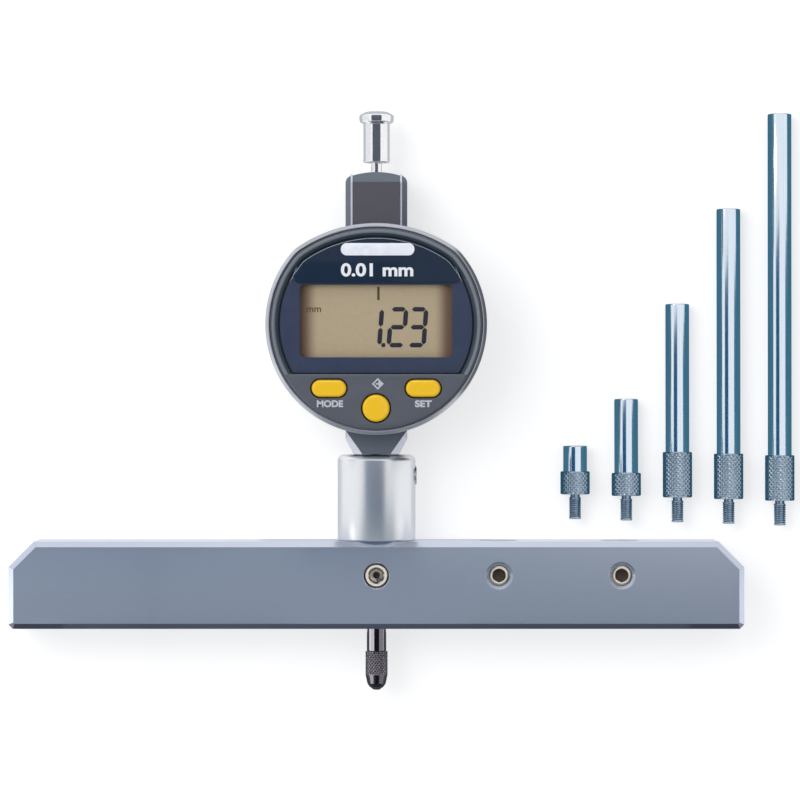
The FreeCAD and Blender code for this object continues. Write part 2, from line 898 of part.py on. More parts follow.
def make_bezel():
    """The bezel: a grooved rim level with the key panel, and a recess with sloping sides."""
    body = head_plate(head_wall + panel_clearance, bezel_back_z, bezel_front_z)
    groove_inset = head_wall + bezel_groove_width
    groove = head_plate(0, bezel_groove_z, bezel_front_z + cut_overrun).cut(
        head_plate(groove_inset, bezel_groove_z - cut_overrun, bezel_front_z + 2 * cut_overrun)
    )
    body = body.cut(groove)
    rim_inset = groove_inset + bezel_rim_width
    recess = head_plate(rim_inset, display_panel_z, bezel_front_z + cut_overrun)
    slope_height = bezel_front_z - display_panel_z
    slope_width = bezel_slope_inset - rim_inset
    foot_edges = edges_at_z(recess, display_panel_z)
    recess = recess.makeChamfer(slope_height, slope_width, foot_edges)
    body = body.cut(
        recess.common(above(key_panel_top_y, display_panel_z, bezel_front_z + cut_overrun))
    )
    body = body.cut(
        bezel_opening(
            bezel_slope_inset, key_panel_top_y, bezel_ledge_z, bezel_front_z + cut_overrun
        )
    )
    body = body.cut(
        bezel_opening(
            bezel_slope_inset + bezel_ledge_width,
            key_panel_top_y + bezel_ledge_width,
            bezel_back_z - cut_overrun,
            bezel_ledge_z,
        )
    )
    for x, y, width, height in key_places():
        gap = 2 * key_guide_gap
        outline = key_wire(x, y, width + gap, height + gap)
        hole = plate(outline, bezel_back_z - cut_overrun, bezel_front_z + cut_overrun)
        body = body.cut(hole)
    return body.removeSplitter()


def key_places():
    """Centre and size of the left, right and round key."""
    round_size = 2 * round_key_radius
    return [
        (-long_key_x, long_key_y, long_key_width, long_key_height),
        (long_key_x, long_key_y, long_key_width, long_key_height),
        (0, round_key_y, round_size, round_size),
    ]


def key_wire(x, y, width, height):
    """A key's outline, a circle where it is as wide as it is high."""
    if width > height:
        return stadium(x, y, width, height)
    circle = Part.Circle(FreeCAD.Vector(x, y, 0), Z_DIR, width / 2)
    return Part.Wire([circle.toShape()])


def make_key(place):
    """A key: a cap through the panel with a flange that keeps it in."""
    x, y, width, height = place
    cap = plate(key_wire(x, y, width, height), key_back_z, key_top_z)
    cap = cap.makeChamfer(key_top_chamfer, edges_at_z(cap, key_top_z))
    grow = 2 * key_flange_width
    outline = key_wire(x, y, width + grow, height + grow)
    flange = plate(outline, key_back_z, key_back_z + key_flange_height)
    return cap.fuse(flange).removeSplitter()


def window_box(clearance, z0, z1):
    """The display window's rectangle with rounded corners."""
    return rounded_box(
        window_width - 2 * clearance,
        window_height - 2 * clearance,
        0,
        window_centre_y,
        window_corner_radius - clearance,
        z0,
        z1,
    )


def make_display_panel():
    """The dark panel round the display, seated on the bezel's ledge."""
    panel = bezel_opening(
        bezel_slope_inset + panel_clearance,
        key_panel_top_y + panel_clearance,
        bezel_ledge_z,
        display_panel_z,
    )
    hole = window_box(0, bezel_ledge_z - cut_overrun, display_panel_z + cut_overrun)
    return panel.cut(hole)


def make_crown_panel():
    """The raised glossy panel above the display."""
    panel = head_plate(crown_panel_inset, display_panel_z, crown_panel_z)
    panel = panel.common(above(crown_panel_foot_y, display_panel_z, crown_panel_z))
    corners = upright_edges(
        panel, crown_panel_foot_y - fit_clearance, crown_panel_foot_y + fit_clearance
    )
    return panel.makeFillet(crown_panel_corner, corners)


def make_lcd():
    """The liquid crystal cell behind the window."""
    return block(
        -lcd_half_width, lcd_half_width, lcd_foot_y, lcd_top_y, lcd_back_z, lcd_front_z
    )


def make_contact_strips():
    """The two elastic contact strips between the board and the display cell."""
    half = lcd_half_width - contact_strip_end_gap
    strips = []
    for y in (
        lcd_foot_y + contact_strip_margin,
        lcd_top_y - contact_strip_margin - contact_strip_width,
    ):
        strips.append(
            block(
                -half,
                half,
                y,
                y + contact_strip_width,
                board_front_z,
                lcd_back_z,
            )
        )
    return Part.makeCompound(strips)


def make_main_board():
    """The main circuit board, filling the head."""
    return head_plate(board_inset, board_back_z, board_front_z)


def make_chips():
    """The two chips on the main board behind the display."""
    chips = []
    for x in (-chip_spacing / 2, chip_spacing / 2):
        chips.append(
            block(
                x - chip_half_width,
                x + chip_half_width,
                window_centre_y - chip_half_height,
                window_centre_y + chip_half_height,
                board_front_z,
                board_front_z + chip_thickness,
            )
        )
    return Part.makeCompound(chips)


def make_sensor_board():
    """The reading head's board, flat against the inside of the case's front wall."""
    return block(
        -sensor_board_half_width,
        sensor_board_half_width,
        head_centre_y - sensor_board_half_height,
        head_centre_y + sensor_board_half_height,
        cavity_front_z - sensor_board_thickness,
        cavity_front_z,
    )


def make_header():
    """The pin header from the sensor board through to the main board."""
    return block(
        -header_half_width,
        header_half_width,
        header_foot_y,
        header_top_y,
        cavity_front_z,
        board_back_z,
    )


def make_membrane():
    """The silicone keypad sheet over the switches."""
    sheet = head_plate(membrane_inset, membrane_back_z, membrane_front_z)
    return sheet.common(below(membrane_top_y, membrane_back_z, membrane_front_z))


def make_switches():
    """The three flat square switches under the keys."""
    half = key_switch_half_width
    switches = []
    for x, y, width, height in key_places():
        switches.append(
            block(x - half, x + half, y - half, y + half, board_front_z, membrane_back_z)
        )
    return Part.makeCompound(switches)


def make_battery():
    """The coin cell behind the spindle."""
    return disc_z(battery_radius, battery_back_z, battery_front_z, y=head_centre_y)


def make_battery_holder():
    """The ring and floor that hold the cell, on two posts from the case's front wall."""
    outer = battery_radius + holder_clearance + holder_wall
    ring_back = battery_back_z + battery_lug_thickness
    cup = disc_z(outer, ring_back, holder_front_z, y=head_centre_y)
    room = disc_z(
        battery_radius + holder_clearance,
        ring_back - cut_overrun,
        battery_front_z + contact_thickness,
        y=head_centre_y,
    )
    half = holder_post_half_width
    y0 = head_centre_y - half
    y1 = head_centre_y + half
    posts = [
        block(x - half, x + half, y0, y1, ring_back, cavity_front_z) for x in (-outer, outer)
    ]
    return cup.fuse(Part.makeCompound(posts)).cut(room).removeSplitter()


def make_battery_contacts():
    """The cell's two contact leaves: one under its face and one at its rim."""
    reach = battery_radius - contact_inset
    leaf = block(
        -contact_width / 2,
        contact_width / 2,
        head_centre_y - reach,
        head_centre_y + reach,
        battery_front_z,
        battery_front_z + contact_thickness,
    )
    side = block(
        battery_radius,
        battery_radius + contact_thickness - fit_clearance,
        head_centre_y - side_contact_half_width,
        head_centre_y + side_contact_half_width,
        battery_back_z + battery_lug_thickness,
        battery_front_z,
    )
    return Part.makeCompound([leaf, side])


def make_battery_lid():
    """The round battery lid with its coin slot and three locking lugs behind the cover."""
    lid_back = table_z + battery_lid_recess
    lid_front = cover_front_z + battery_lid_recess
    lid = disc_z(battery_lid_radius, lid_back, lid_front, y=head_centre_y)
    for index in range(battery_lug_count):
        lug = block(
            0,
            battery_lug_radius,
            -battery_lug_half_width,
            battery_lug_half_width,
            cover_front_z + panel_clearance,
            cover_front_z + battery_lug_thickness,
        )
        angle = battery_lug_first_angle + index * 360 / battery_lug_count
        lug.rotate(FreeCAD.Vector(0, 0, 0), Z_DIR, angle)
        lug.translate(head_centre)
        rim = disc_z(
            battery_lug_radius,
            cover_front_z,
            cover_front_z + battery_lug_thickness,
            y=head_centre_y,
        )
        hole = disc_z(
            battery_radius + holder_clearance,
            cover_front_z,
            cover_front_z + battery_lug_thickness,
            y=head_centre_y,
        )
        lid = lid.fuse(lug.common(rim).cut(hole))
    reach = battery_lid_radius - coin_slot_margin
    slot = block(
        -reach,
        reach,
        head_centre_y - coin_slot_width / 2,
        head_centre_y + coin_slot_width / 2,
        lid_back - cut_overrun,
        lid_back + coin_slot_depth,
    )
    return lid.cut(slot).removeSplitter()


def make_spindle():
    """The spindle: a threaded foot, a polished bar and a thin upper end."""
    bar = disc_y(spindle_radius, spindle_foot_y, spindle_shoulder_y)
    thin = disc_y(thin_rod_radius, spindle_shoulder_y, cap_foot_y + cap_bore_depth)
    hole = disc_y(
        thread_radius, spindle_foot_y - cut_overrun, spindle_foot_y + thread_hole_depth
    )
    return bar.fuse(thin).cut(hole)


def make_contact_point():
    """The contact point: a threaded stud, the collar to be knurled, and a narrower rounded end."""
    knurl_foot = spindle_foot_y - contact_knurl_length
    stud_top = spindle_foot_y + contact_stud_length
    stud_radius = thread_radius - thread_clearance
    rim_radius = contact_knurl_radius - contact_rim_chamfer
    return turned(
        [
            (0, contact_tip_y),
            (0, stud_top),
            (stud_radius, stud_top),
            (stud_radius, spindle_foot_y),
            (rim_radius, spindle_foot_y),
            (contact_knurl_radius, spindle_foot_y - contact_rim_chamfer),
            (contact_knurl_radius, knurl_foot),
            (contact_taper_radius, knurl_foot - contact_taper_length),
            (contact_ball_radius, contact_tip_y + contact_ball_height),
        ]
    )


def make_lifting_cap():
    """The lifting cap: a straight barrel under a coned flange with a low crown."""
    barrel_top = cap_foot_y + cap_barrel_height
    cone_top = barrel_top + cap_cone_height
    edge_top = cone_top + cap_flange_edge
    crown_top = edge_top + cap_crown_height
    bore = thin_rod_radius + fit_clearance
    bore_top = cap_foot_y + cap_bore_depth + fit_clearance
    return turned(
        [
            (0, crown_top),
            (0, bore_top),
            (bore, bore_top),
            (bore, cap_foot_y),
            (cap_barrel_radius, cap_foot_y),
            (cap_barrel_radius, barrel_top),
            (cap_flange_radius, cone_top),
            (cap_flange_radius, edge_top),
            (cap_crown_radius, crown_top),
        ]
    )


def make_carrier():
    """The saddle bonded to the spindle's front, with an ear for the spring and a seat for the guide pin."""
    saddle = block(
        -carrier_half_width,
        carrier_half_width,
        carrier_foot_y,
        carrier_top_y,
        carrier_back_z,
        carrier_front_z,
    )
    ear = block(
        spring_x - carrier_ear_overhang,
        -carrier_half_width,
        carrier_top_y - carrier_ear_height,
        carrier_top_y,
        carrier_back_z,
        -carrier_back_z,
    )
    body = saddle.fuse(ear)
    room = disc_y(
        spindle_radius + fit_clearance, carrier_foot_y - cut_overrun, carrier_top_y + cut_overrun
    )
    open_back = block(
        -spindle_radius - fit_clearance,
        spindle_radius + fit_clearance,
        carrier_foot_y - cut_overrun,
        carrier_top_y + cut_overrun,
        carrier_back_z - cut_overrun,
        0,
    )
    seat = Part.makeCylinder(
        guide_pin_radius + fit_clearance,
        guide_pin_seat + cut_overrun,
        FreeCAD.Vector(carrier_half_width - guide_pin_seat, guide_pin_y, 0),
        X_DIR,
    )
    for cutter in (room, open_back, seat):
        body = body.cut(cutter)
    return body.removeSplitter()


def make_guide_pin():
    """The pin in the carrier's side that stops the spindle from turning."""
    start = carrier_half_width - guide_pin_seat
    return Part.makeCylinder(
        guide_pin_radius,
        guide_pin_reach - start,
        FreeCAD.Vector(start, guide_pin_y, 0),
        X_DIR,
    )


def make_guide_rail():
    """The slotted rail on the case's front wall that the guide pin runs in."""
    foot_y = guide_pin_y - guide_pin_radius - rail_slack
    top_y = guide_pin_y + spindle_travel + guide_pin_radius + rail_slack
    rail = block(rail_inner_x, rail_outer_x, foot_y, top_y, rail_back_z, cavity_front_z)
    half = guide_pin_radius + panel_clearance
    slot = block(
        rail_inner_x - cut_overrun,
        rail_outer_x - rail_web,
        foot_y + rail_web,
        top_y - rail_web,
        -half,
        half,
    )
    return rail.cut(slot)


def make_scale_strip():
    """The moving scale on the carrier's front."""
    return block(
        -scale_half_width,
        scale_half_width,
        carrier_foot_y,
        carrier_foot_y + scale_length,
        carrier_front_z,
        carrier_front_z + scale_thickness,
    )


def make_stop_buffer():
    """The soft ring on the stem's top that the carrier comes down on."""
    return ring_y(
        buffer_radius, buffer_bore_radius, stem_top_y, carrier_foot_y - buffer_gap
    )


def make_spring_post():
    """The post on the case's front wall that holds the spring's lower end."""
    return disc_z(
        spring_post_radius, -spring_post_tail, cavity_front_z, x=spring_x, y=spring_post_y
    )


def make_return_spring():
    """The close-wound return spring, hidden in the case, as its outer form with its bore."""
    foot_y = spring_post_y + spring_post_radius
    top_y = carrier_top_y - carrier_ear_height
    outer = disc_y(spring_radius, foot_y, top_y, x=spring_x)
    bore = disc_y(
        spring_bore_radius, foot_y - cut_overrun, top_y + cut_overrun, x=spring_x
    )
    return outer.cut(bore)


def make_rod(index, length):
    """An extension rod, lying on the table on its collar and, if long, on its plain end."""
    collar = rod_long_knurl if length >= rod_long_from else rod_short_knurl
    stud_radius = thread_radius - thread_clearance
    rod = turned(
        [
            (0, -rod_stud_length),
            (stud_radius, -rod_stud_length),
            (stud_radius, 0),
            (rod_knurl_radius, 0),
            (rod_knurl_radius, collar),
            (rod_body_radius, collar),
            (rod_body_radius, length),
            (thread_radius, length),
            (thread_radius, length - thread_hole_depth),
            (0, length - thread_hole_depth),
        ]
    )
    tilt = 0
    if rod.CenterOfMass.y > collar:
        tilt = math.atan2(rod_knurl_radius - rod_body_radius, length - collar)
    rod.translate(FreeCAD.Vector(0, -collar, 0))
    rod.rotate(FreeCAD.Vector(0, 0, 0), X_DIR, -math.degrees(tilt))
    tip_y = rod_first_tip_y - index * rod_tip_drop
    place = FreeCAD.Vector(
        rod_first_x + index * rod_pitch,
        tip_y + rod_stud_length + collar,
        table_z + rod_knurl_radius * math.cos(tilt),
    )
    rod.translate(place)
    return rod


def all_nodes():
    """Every piece by its name."""
    left_key, right_key, round_key = key_places()
    spare_screws = [set_screw(x, spare_screw_recess) for x in bore_places()[1:]]
    nodes = {
        "base_bar": make_base(),
        "spigot_set_screw": set_screw(0, flush_screw_recess),
        "spare_set_screws": Part.makeCompound(spare_screws),
        "stem_sleeve": make_sleeve(),
        "sleeve_clamp_screw": make_clamp_screw(),
        "indicator_stem": make_stem(),
        "lower_guide_bush": make_lower_bush(),
        "upper_guide_bush": make_upper_bush(),
        "spindle_wiper": make_wiper(),
        "indicator_case": make_case(),
        "case_gasket": make_gasket(),
        "back_cover": make_back_cover(),
        "back_cover_screws": Part.makeCompound(
            [cover_screw(x, y) for x, y in cover_screw_places()]
        ),
        "upper_neck_plate": make_upper_plate(),
        "lower_neck_plate": make_lower_plate(),
        "head_shell": make_head_shell(),
        "head_screws": Part.makeCompound(
            [head_screw(x, y) for x, y in head_screw_places()]
        ),
        "front_bezel": make_bezel(),
        "display_panel": make_display_panel(),
        "display_window": window_box(panel_clearance, bezel_ledge_z, window_pane_z),
        "crown_panel": make_crown_panel(),
        "lcd_cell": make_lcd(),
        "lcd_contact_strips": make_contact_strips(),
        "main_circuit_board": make_main_board(),
        "circuit_chips": make_chips(),
        "sensor_board": make_sensor_board(),
        "board_header": make_header(),
        "keypad_membrane": make_membrane(),
        "key_switches": make_switches(),
        "mode_key": make_key(left_key),
        "set_key": make_key(right_key),
        "output_key": make_key(round_key),
        "battery": make_battery(),
        "battery_holder": make_battery_holder(),
        "battery_contacts": make_battery_contacts(),
        "battery_lid": make_battery_lid(),
        "guide_rail": make_guide_rail(),
        "spring_post": make_spring_post(),
        "return_spring": make_return_spring(),
        "stop_buffer": make_stop_buffer(),
        "spindle": make_spindle(),
        "contact_point": make_contact_point(),
        "lifting_cap": make_lifting_cap(),
        "scale_carrier": make_carrier(),
        "guide_pin": make_guide_pin(),
        "scale_strip": make_scale_strip(),
    }
    for index, length in enumerate(rod_lengths):
        nodes[f"extension_rod_{length:.0f}"] = make_rod(index, length)
    return nodes


for name, shape in all_nodes().items():
    shape.exportStep(os.path.join("parts", name + ".step"))
    print(name, len(shape.Solids), round(shape.Volume, 2), shape.isValid())
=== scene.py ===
"""Dresses the depth gauge and its extension rods for rendering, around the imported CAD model.

Lengths in this file are millimetres, turned to metres where a mesh or a lamp is made.
+X runs along the base bar, +Y up the spindle to the lifting cap, +Z out of the display.
"""

import math

import bmesh
import bpy
import numpy as np
from bpy.props import FloatProperty, FloatVectorProperty, PointerProperty
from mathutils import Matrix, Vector


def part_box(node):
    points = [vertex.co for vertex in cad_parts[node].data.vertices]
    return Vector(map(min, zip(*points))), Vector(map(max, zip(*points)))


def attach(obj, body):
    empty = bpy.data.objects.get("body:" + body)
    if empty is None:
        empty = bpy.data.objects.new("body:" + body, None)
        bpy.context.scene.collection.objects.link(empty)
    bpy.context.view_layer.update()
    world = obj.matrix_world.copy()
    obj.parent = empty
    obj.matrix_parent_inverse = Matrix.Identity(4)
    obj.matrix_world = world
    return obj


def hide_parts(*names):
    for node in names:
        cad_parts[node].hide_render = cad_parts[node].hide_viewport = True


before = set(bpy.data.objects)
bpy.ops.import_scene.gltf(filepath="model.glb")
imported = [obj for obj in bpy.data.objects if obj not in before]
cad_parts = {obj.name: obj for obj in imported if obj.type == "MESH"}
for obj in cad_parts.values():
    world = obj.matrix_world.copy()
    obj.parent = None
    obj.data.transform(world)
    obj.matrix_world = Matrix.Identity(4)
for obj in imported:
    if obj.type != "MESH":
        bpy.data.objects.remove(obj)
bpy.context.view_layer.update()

bl_info = {
    "name": "Depth gauge dressing",
    "version": (1, 0, 0),
    "blender": (4, 5, 0),
    "location": "3D View > Sidebar > Depth gauge",
    "description": "Builds the machined, knurled, painted and moulded surfaces of a depth gauge",
    "category": "Object",
}

MM = 0.001
GAUGE = "gauge"
SPINDLE = "spindle_unit"
SMOOTH_ANGLE = math.radians(32)  # faces that meet at less than this are shaded as one surface
ROUNDED_ANGLE = math.radians(28)  # edges sharper than this get a bevel
FLAT_ANGLE = math.radians(0.6)  # faces that meet at less than this are one flat face
WELD = 1e-7  # metres within which points are one
CAD_WELD = 1e-6  # the same for the CAD's own mesh
SPARE_BORES = (25, 50)  # X of the bar's spare bores
MOUTH_RADIUS = 4.3  # a little more than a bore's own 4 mm
MOUTH_WIDTH = 0.5  # countersink of the spare bores
KEY_FOOT_Z = 12.6
LEDGE_Z = 13.4  # where the display panel lies
GROOVE_Z = 14.1  # floor of the groove in the rim
ROD_LENGTHS = (10, 20, 40, 60, 80)
ROD_PITCH = 10.59  # from one rod to the next
INK_HEIGHT = 0.03  # how far a printed mark stands out, so that it doesn't flicker
CAMERA_PLACE = (4.82, 46.65, 770)  # over the middle of the photo, 0.77 m up
CAMERA_LENS = 168.5


def corners(node):
    """A CAD node's lowest and highest corner in millimetres."""
    low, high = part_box(node)
    return np.array(low) / MM, np.array(high) / MM


HEAD_LOW, HEAD_HIGH = corners("head_shell")
HEAD_RADIUS = (HEAD_HIGH[0] - HEAD_LOW[0]) / 2
HEAD_Y = HEAD_LOW[1] + HEAD_RADIUS
CROWN_HEIGHT = HEAD_HIGH[1] - HEAD_Y
CROWN_ARC = 1.2634 * HEAD_RADIUS
SHOULDER = 0.3571 * HEAD_RADIUS
TABLE_Z = corners("base_bar")[0][2]
BAR_FRONT_Z = corners("base_bar")[1][2]
BAR_TOP_Y = corners("base_bar")[1][1]


# Colours


def linear(code):
    """An sRGB hex colour as the linear values that Blender's colours hold; linear values stay."""
    if not isinstance(code, str):
        return tuple(code)
    parts = [int(code[place : place + 2], 16) / 255 for place in (0, 2, 4)]
    return tuple(
        part / 12.92 if part <= 0.04045 else ((part + 0.055) / 1.055) ** 2.4 for part in parts
    )


def shades(colour, spread):
    """A darker and a lighter shade of a linear colour, by a share of it."""
    return tuple(part * (1 - spread) for part in colour), tuple(
        part * (1 + spread) for part in colour
    )


# Shapes


def rounded(points, radii, steps=5):
    """A line of straight runs whose inner corners are drawn as arcs tangent to both runs.

    With a half angle h at a corner, the arc of radius r starts r / tan h along each run, and its
    points are the start and end vectors about the centre, mixed by the sines of their shares.
    """
    points = np.array(points, float)
    line = [points[:1]]
    for before, corner, after, radius in zip(points, points[1:], points[2:], radii):
        if radius == 0:
            line.append(corner[None])
            continue
        first = (before - corner) / np.linalg.norm(before - corner)
        second = (after - corner) / np.linalg.norm(after - corner)
        half = math.acos(np.clip(first @ second, -1, 1)) / 2
        middle = (first + second) / np.linalg.norm(first + second)
        centre = corner + middle * radius / math.sin(half)
        start = corner + first * radius / math.tan(half) - centre
        end = corner + second * radius / math.tan(half) - centre
        swing = math.pi - 2 * half
        share = np.linspace(0, 1, steps + 1)[:, None]
        arc = (np.sin((1 - share) * swing) * start + np.sin(share * swing) * end) / math.sin(swing)
        line.append(centre + arc)
    line.append(points[-1:])
    return np.concatenate(line)


def grid_piece(name, points, material, body, stands_for=(), uv=None):
    """A closed piece from rows of points that each run once around it.

    Quads join each row to the next, the first and last rows shut it as poles or meet each other,
    and doubled points are merged. uv gives each point's place on the surface, in millimetres.
    """
    rows, columns = points.shape[:2]
    index = np.arange(rows * columns).reshape(rows, columns)
    after = np.roll(index, -1, axis=1)
    quads = np.stack([index[:-1], after[:-1], after[1:], index[1:]], axis=-1).reshape(-1, 4)
    mesh = bpy.data.meshes.new(name)
    mesh.from_pydata((points.reshape(-1, 3) * MM).tolist(), [], quads.tolist())
    if uv is not None:
        step = uv[0, 1, 0] - uv[0, 0, 0]
        edge = np.concatenate([uv, uv[:, -1:] + [[[step, 0]]]], axis=1)
        corner = np.stack([edge[:-1, :-1], edge[:-1, 1:], edge[1:, 1:], edge[1:, :-1]], axis=2)
        layer = mesh.uv_layers.new(name="surface_mm")
        layer.data.foreach_set("uv", corner.reshape(-1).astype(np.float32))
    return finished(name, mesh, material, body, stands_for)


def finished(name, mesh, material, body, stands_for=(), flat=False):
    """A mesh merged, turned outwards, smoothed by angle and made a piece that rides on a body."""
    work = bmesh.new()
    work.from_mesh(mesh)
    bmesh.ops.remove_doubles(work, verts=work.verts, dist=WELD)
    bmesh.ops.dissolve_degenerate(work, edges=work.edges, dist=WELD)
    bmesh.ops.recalc_face_normals(work, faces=work.faces)
    work.to_mesh(mesh)
    work.free()
    if not flat:
        mesh.polygons.foreach_set("use_smooth", np.ones(len(mesh.polygons), bool))
        mesh.set_sharp_from_angle(angle=SMOOTH_ANGLE)
    mesh.materials.clear()
    mesh.materials.append(material)
    piece = bpy.data.objects.new(name, mesh)
    bpy.context.scene.collection.objects.link(piece)
    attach(piece, body)
    if stands_for:
        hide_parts(*stands_for)
    return piece


def turned(profile, columns, relief=None):
    """Points of a shape turned about the Y axis, and their places on the surface.

    A row at (r, y) is the circle x = r sin a, z = r cos a. The relief is a depth taken off r that
    depends on the angle a and on y.
    """
    angle = np.linspace(0, 2 * np.pi, columns, endpoint=False)[None, :]
    radius = profile[:, 0, None] + 0 * angle
    along = profile[:, 1, None] + 0 * angle
    if relief is not None:
        radius = np.maximum(radius - relief(angle, along), 0)
    points = np.stack([radius * np.sin(angle), along, radius * np.cos(angle)], axis=-1)
    reach = profile[:, 0].max()
    return points, np.stack([angle * reach + 0 * along, along], axis=-1)


def ramp(position):
    """The distance to the nearest whole number, from 0 at it to 1 halfway between two."""
    return np.abs(2 * (position - np.floor(position)) - 1) * -1 + 1


def diamond_knurl(count, pitch, depth, start, end):
    """Relief of two crossed sets of V grooves: at each point the deeper groove is taken off.

    The grooves wind count times around at 45 degrees or so, so their phase is the angle's share
    times count, plus or minus the length over the pitch.
    """
    fade = 0.25
    steep = 1.35  # a V takes up 1 / steep of the way from one groove to the next

    def relief(angle, along):
        turn = count * angle / (2 * np.pi)
        ridge = np.minimum(ramp(turn + along / pitch), ramp(turn - along / pitch))
        inside = np.clip((along - start) / fade, 0, 1) * np.clip((end - along) / fade, 0, 1)
        return depth * (1 - np.clip(steep * ridge, 0, 1)) * inside

    return relief


def screw_thread(pitch, depth, start, end):
    """Relief of one V groove that climbs a pitch for each turn, fading out at its two ends."""
    steep = 1.2  # the V takes up 1 / steep of the pitch, and the rest is the thread's flat crest

    def relief(angle, along):
        ridge = ramp(along / pitch - angle / (2 * np.pi))
        inside = np.clip((along - start) / pitch, 0, 1) * np.clip((end - along) / pitch, 0, 1)
        return depth * (1 - np.clip(steep * ridge, 0, 1)) * inside

    return relief


def dense(line, start, end, step):
    """A profile with extra rows between two lengths, for a relief to follow."""
    extra = np.arange(start, end, step)
    radius = np.interp(extra, line[:, 1], line[:, 0])
    both = np.concatenate([line, np.stack([radius, extra], axis=1)])
    return both[np.argsort(both[:, 1], kind="stable")]


def head_outline(count=384):
    """Points around the head and their outward normals, along its four tangent arcs.

    The lower circle, the right shoulder, the crown and the left shoulder are arcs about their own
    centres. A point is its centre plus the radius times its normal, so an outline drawn in by an
    inset is each point less the inset times its normal.
    """
    drop = CROWN_ARC - CROWN_HEIGHT
    inner = HEAD_RADIUS - SHOULDER
    rise = ((CROWN_ARC - SHOULDER) ** 2 - inner**2 - drop**2) / (2 * drop)
    side = math.sqrt(inner**2 - rise**2)
    low = math.atan2(rise, side)
    high = math.atan2(rise + drop, side)
    arcs = (
        (0, HEAD_Y, HEAD_RADIUS, math.pi - low, 2 * math.pi + low),
        (side, HEAD_Y + rise, SHOULDER, low, high),
        (0, HEAD_Y - drop, CROWN_ARC, high, math.pi - high),
        (-side, HEAD_Y + rise, SHOULDER, math.pi - high, math.pi - low),
    )
    length = sum(radius * (end - start) for _, _, radius, start, end in arcs)
    points, normals = [], []
    for x, y, radius, start, end in arcs:
        steps = round(count * radius * (end - start) / length)
        angle = np.linspace(start, end, steps, endpoint=False)
        normal = np.stack([np.cos(angle), np.sin(angle)], axis=1)
        points.append(np.array([x, y]) + radius * normal)
        normals.append(normal)
    return np.concatenate(points), np.concatenate(normals)


def stadium_outline(x, y, width, height, count=96):
    """Points around a key with half-round ends, and their outward normals, by equal angles."""
    angle = np.linspace(0, 2 * np.pi, count, endpoint=False) + np.pi / count
    normal = np.stack([np.cos(angle), np.sin(angle)], axis=1)
    half = height / 2
    centre_x = x + np.sign(normal[:, 0]) * (width / 2 - half)
    return np.stack([centre_x, np.full(count, y)], axis=1) + half * normal, normal


def swept(outline, profile):
    """Points of a profile of (inset, z) rows carried around an outline, along its normals."""
    points, normals = outline
    inset, height = profile[:, 0, None], profile[:, 1, None]
    x = points[None, :, 0] - inset * normals[None, :, 0]
    y = points[None, :, 1] - inset * normals[None, :, 1]
    return np.stack([x, y, height + 0 * x], axis=-1)


def closed_over(points, middle):
    """The same rows with a last one drawn together at a middle point, as a pole."""
    pole = np.broadcast_to(np.array(middle, float), points[:1].shape)
    return np.concatenate([points, pole])


def capped(rows):
    """The same rows with one more at each end, drawn together at its middle, as flat ends."""
    first = np.broadcast_to(rows[0].mean(0), rows[:1].shape)
    last = np.broadcast_to(rows[-1].mean(0), rows[:1].shape)
    return np.concatenate([first, rows, last])


def hexagon_radius(columns, flats):
    """The distance from a hexagon's middle to its side: half the flats over the angle's cosine."""
    angle = np.linspace(0, 2 * np.pi, columns, endpoint=False)
    turn = np.mod(angle + np.pi / 6, np.pi / 3) - np.pi / 6
    return flats / 2 / np.cos(turn)


def about_z(rows):
    """Points about +Z: x = r cos a, y = r sin a. A row is r at each angle a, and a height."""
    reach = np.stack([row for row, _ in rows])
    height = np.array([z for _, z in rows])[:, None] + 0 * reach
    angle = np.linspace(0, 2 * np.pi, reach.shape[1], endpoint=False)
    return np.stack([reach * np.cos(angle), reach * np.sin(angle), height], axis=-1)


def socket_screw(radius, flats, depth, top, foot, edge=0.3, mouth=0.0, columns=96):
    """Points of a screw end with a hexagon socket, standing on +Z about the origin.

    Rows run up the wall, over the rim, down a round mouth where one is given, into the hexagon
    and down the drilled hole in its floor.
    """
    circle = np.ones(columns)
    hexagon = hexagon_radius(columns, flats)
    opening = np.maximum(hexagon * 1.03, mouth)
    floor = top - depth
    return about_z(
        [
            (circle * 0, foot),
            (circle * radius, foot),
            (circle * radius, top - edge),
            (circle * (radius - 0.3 * edge), top - 0.3 * edge),
            (circle * (radius - edge), top),
            (opening + 0.06, top),
            (opening, top - 0.03),
            (hexagon, top - (0.2 * flats if mouth else 0.1)),
            (hexagon, floor),
            (circle * 0.22 * flats, floor - 0.1),
            (circle * 0.2 * flats, floor - 1.1),
            (circle * 0, floor - 1.3),
        ]
    )


def socket_shade(flats, top, foot, columns=96):
    """Points of a hexagonal plug with a dished end, set deep in a socket: its dark colour paints
    the socket's shade.
    """
    circle = np.ones(columns)
    hexagon = hexagon_radius(columns, flats) * 0.99
    return about_z(
        [
            (circle * 0, foot),
            (hexagon, foot),
            (hexagon, top),
            (hexagon * 0.8, top - 0.25),
            (circle * 0.2 * flats, top - 0.4),
            (circle * 0, top - 0.5),
        ]
    )


def ring_points(line, columns=96):
    """Points of a ring about +Z from a closed line of (r, z)."""
    return about_z([(np.full(columns, float(radius)), height) for radius, height in line])


def turned_to_x(points):
    """The same points with +Z turned to +X, for a screw in the gauge's right side."""
    return np.stack([points[..., 2], points[..., 1], -points[..., 0]], axis=-1)


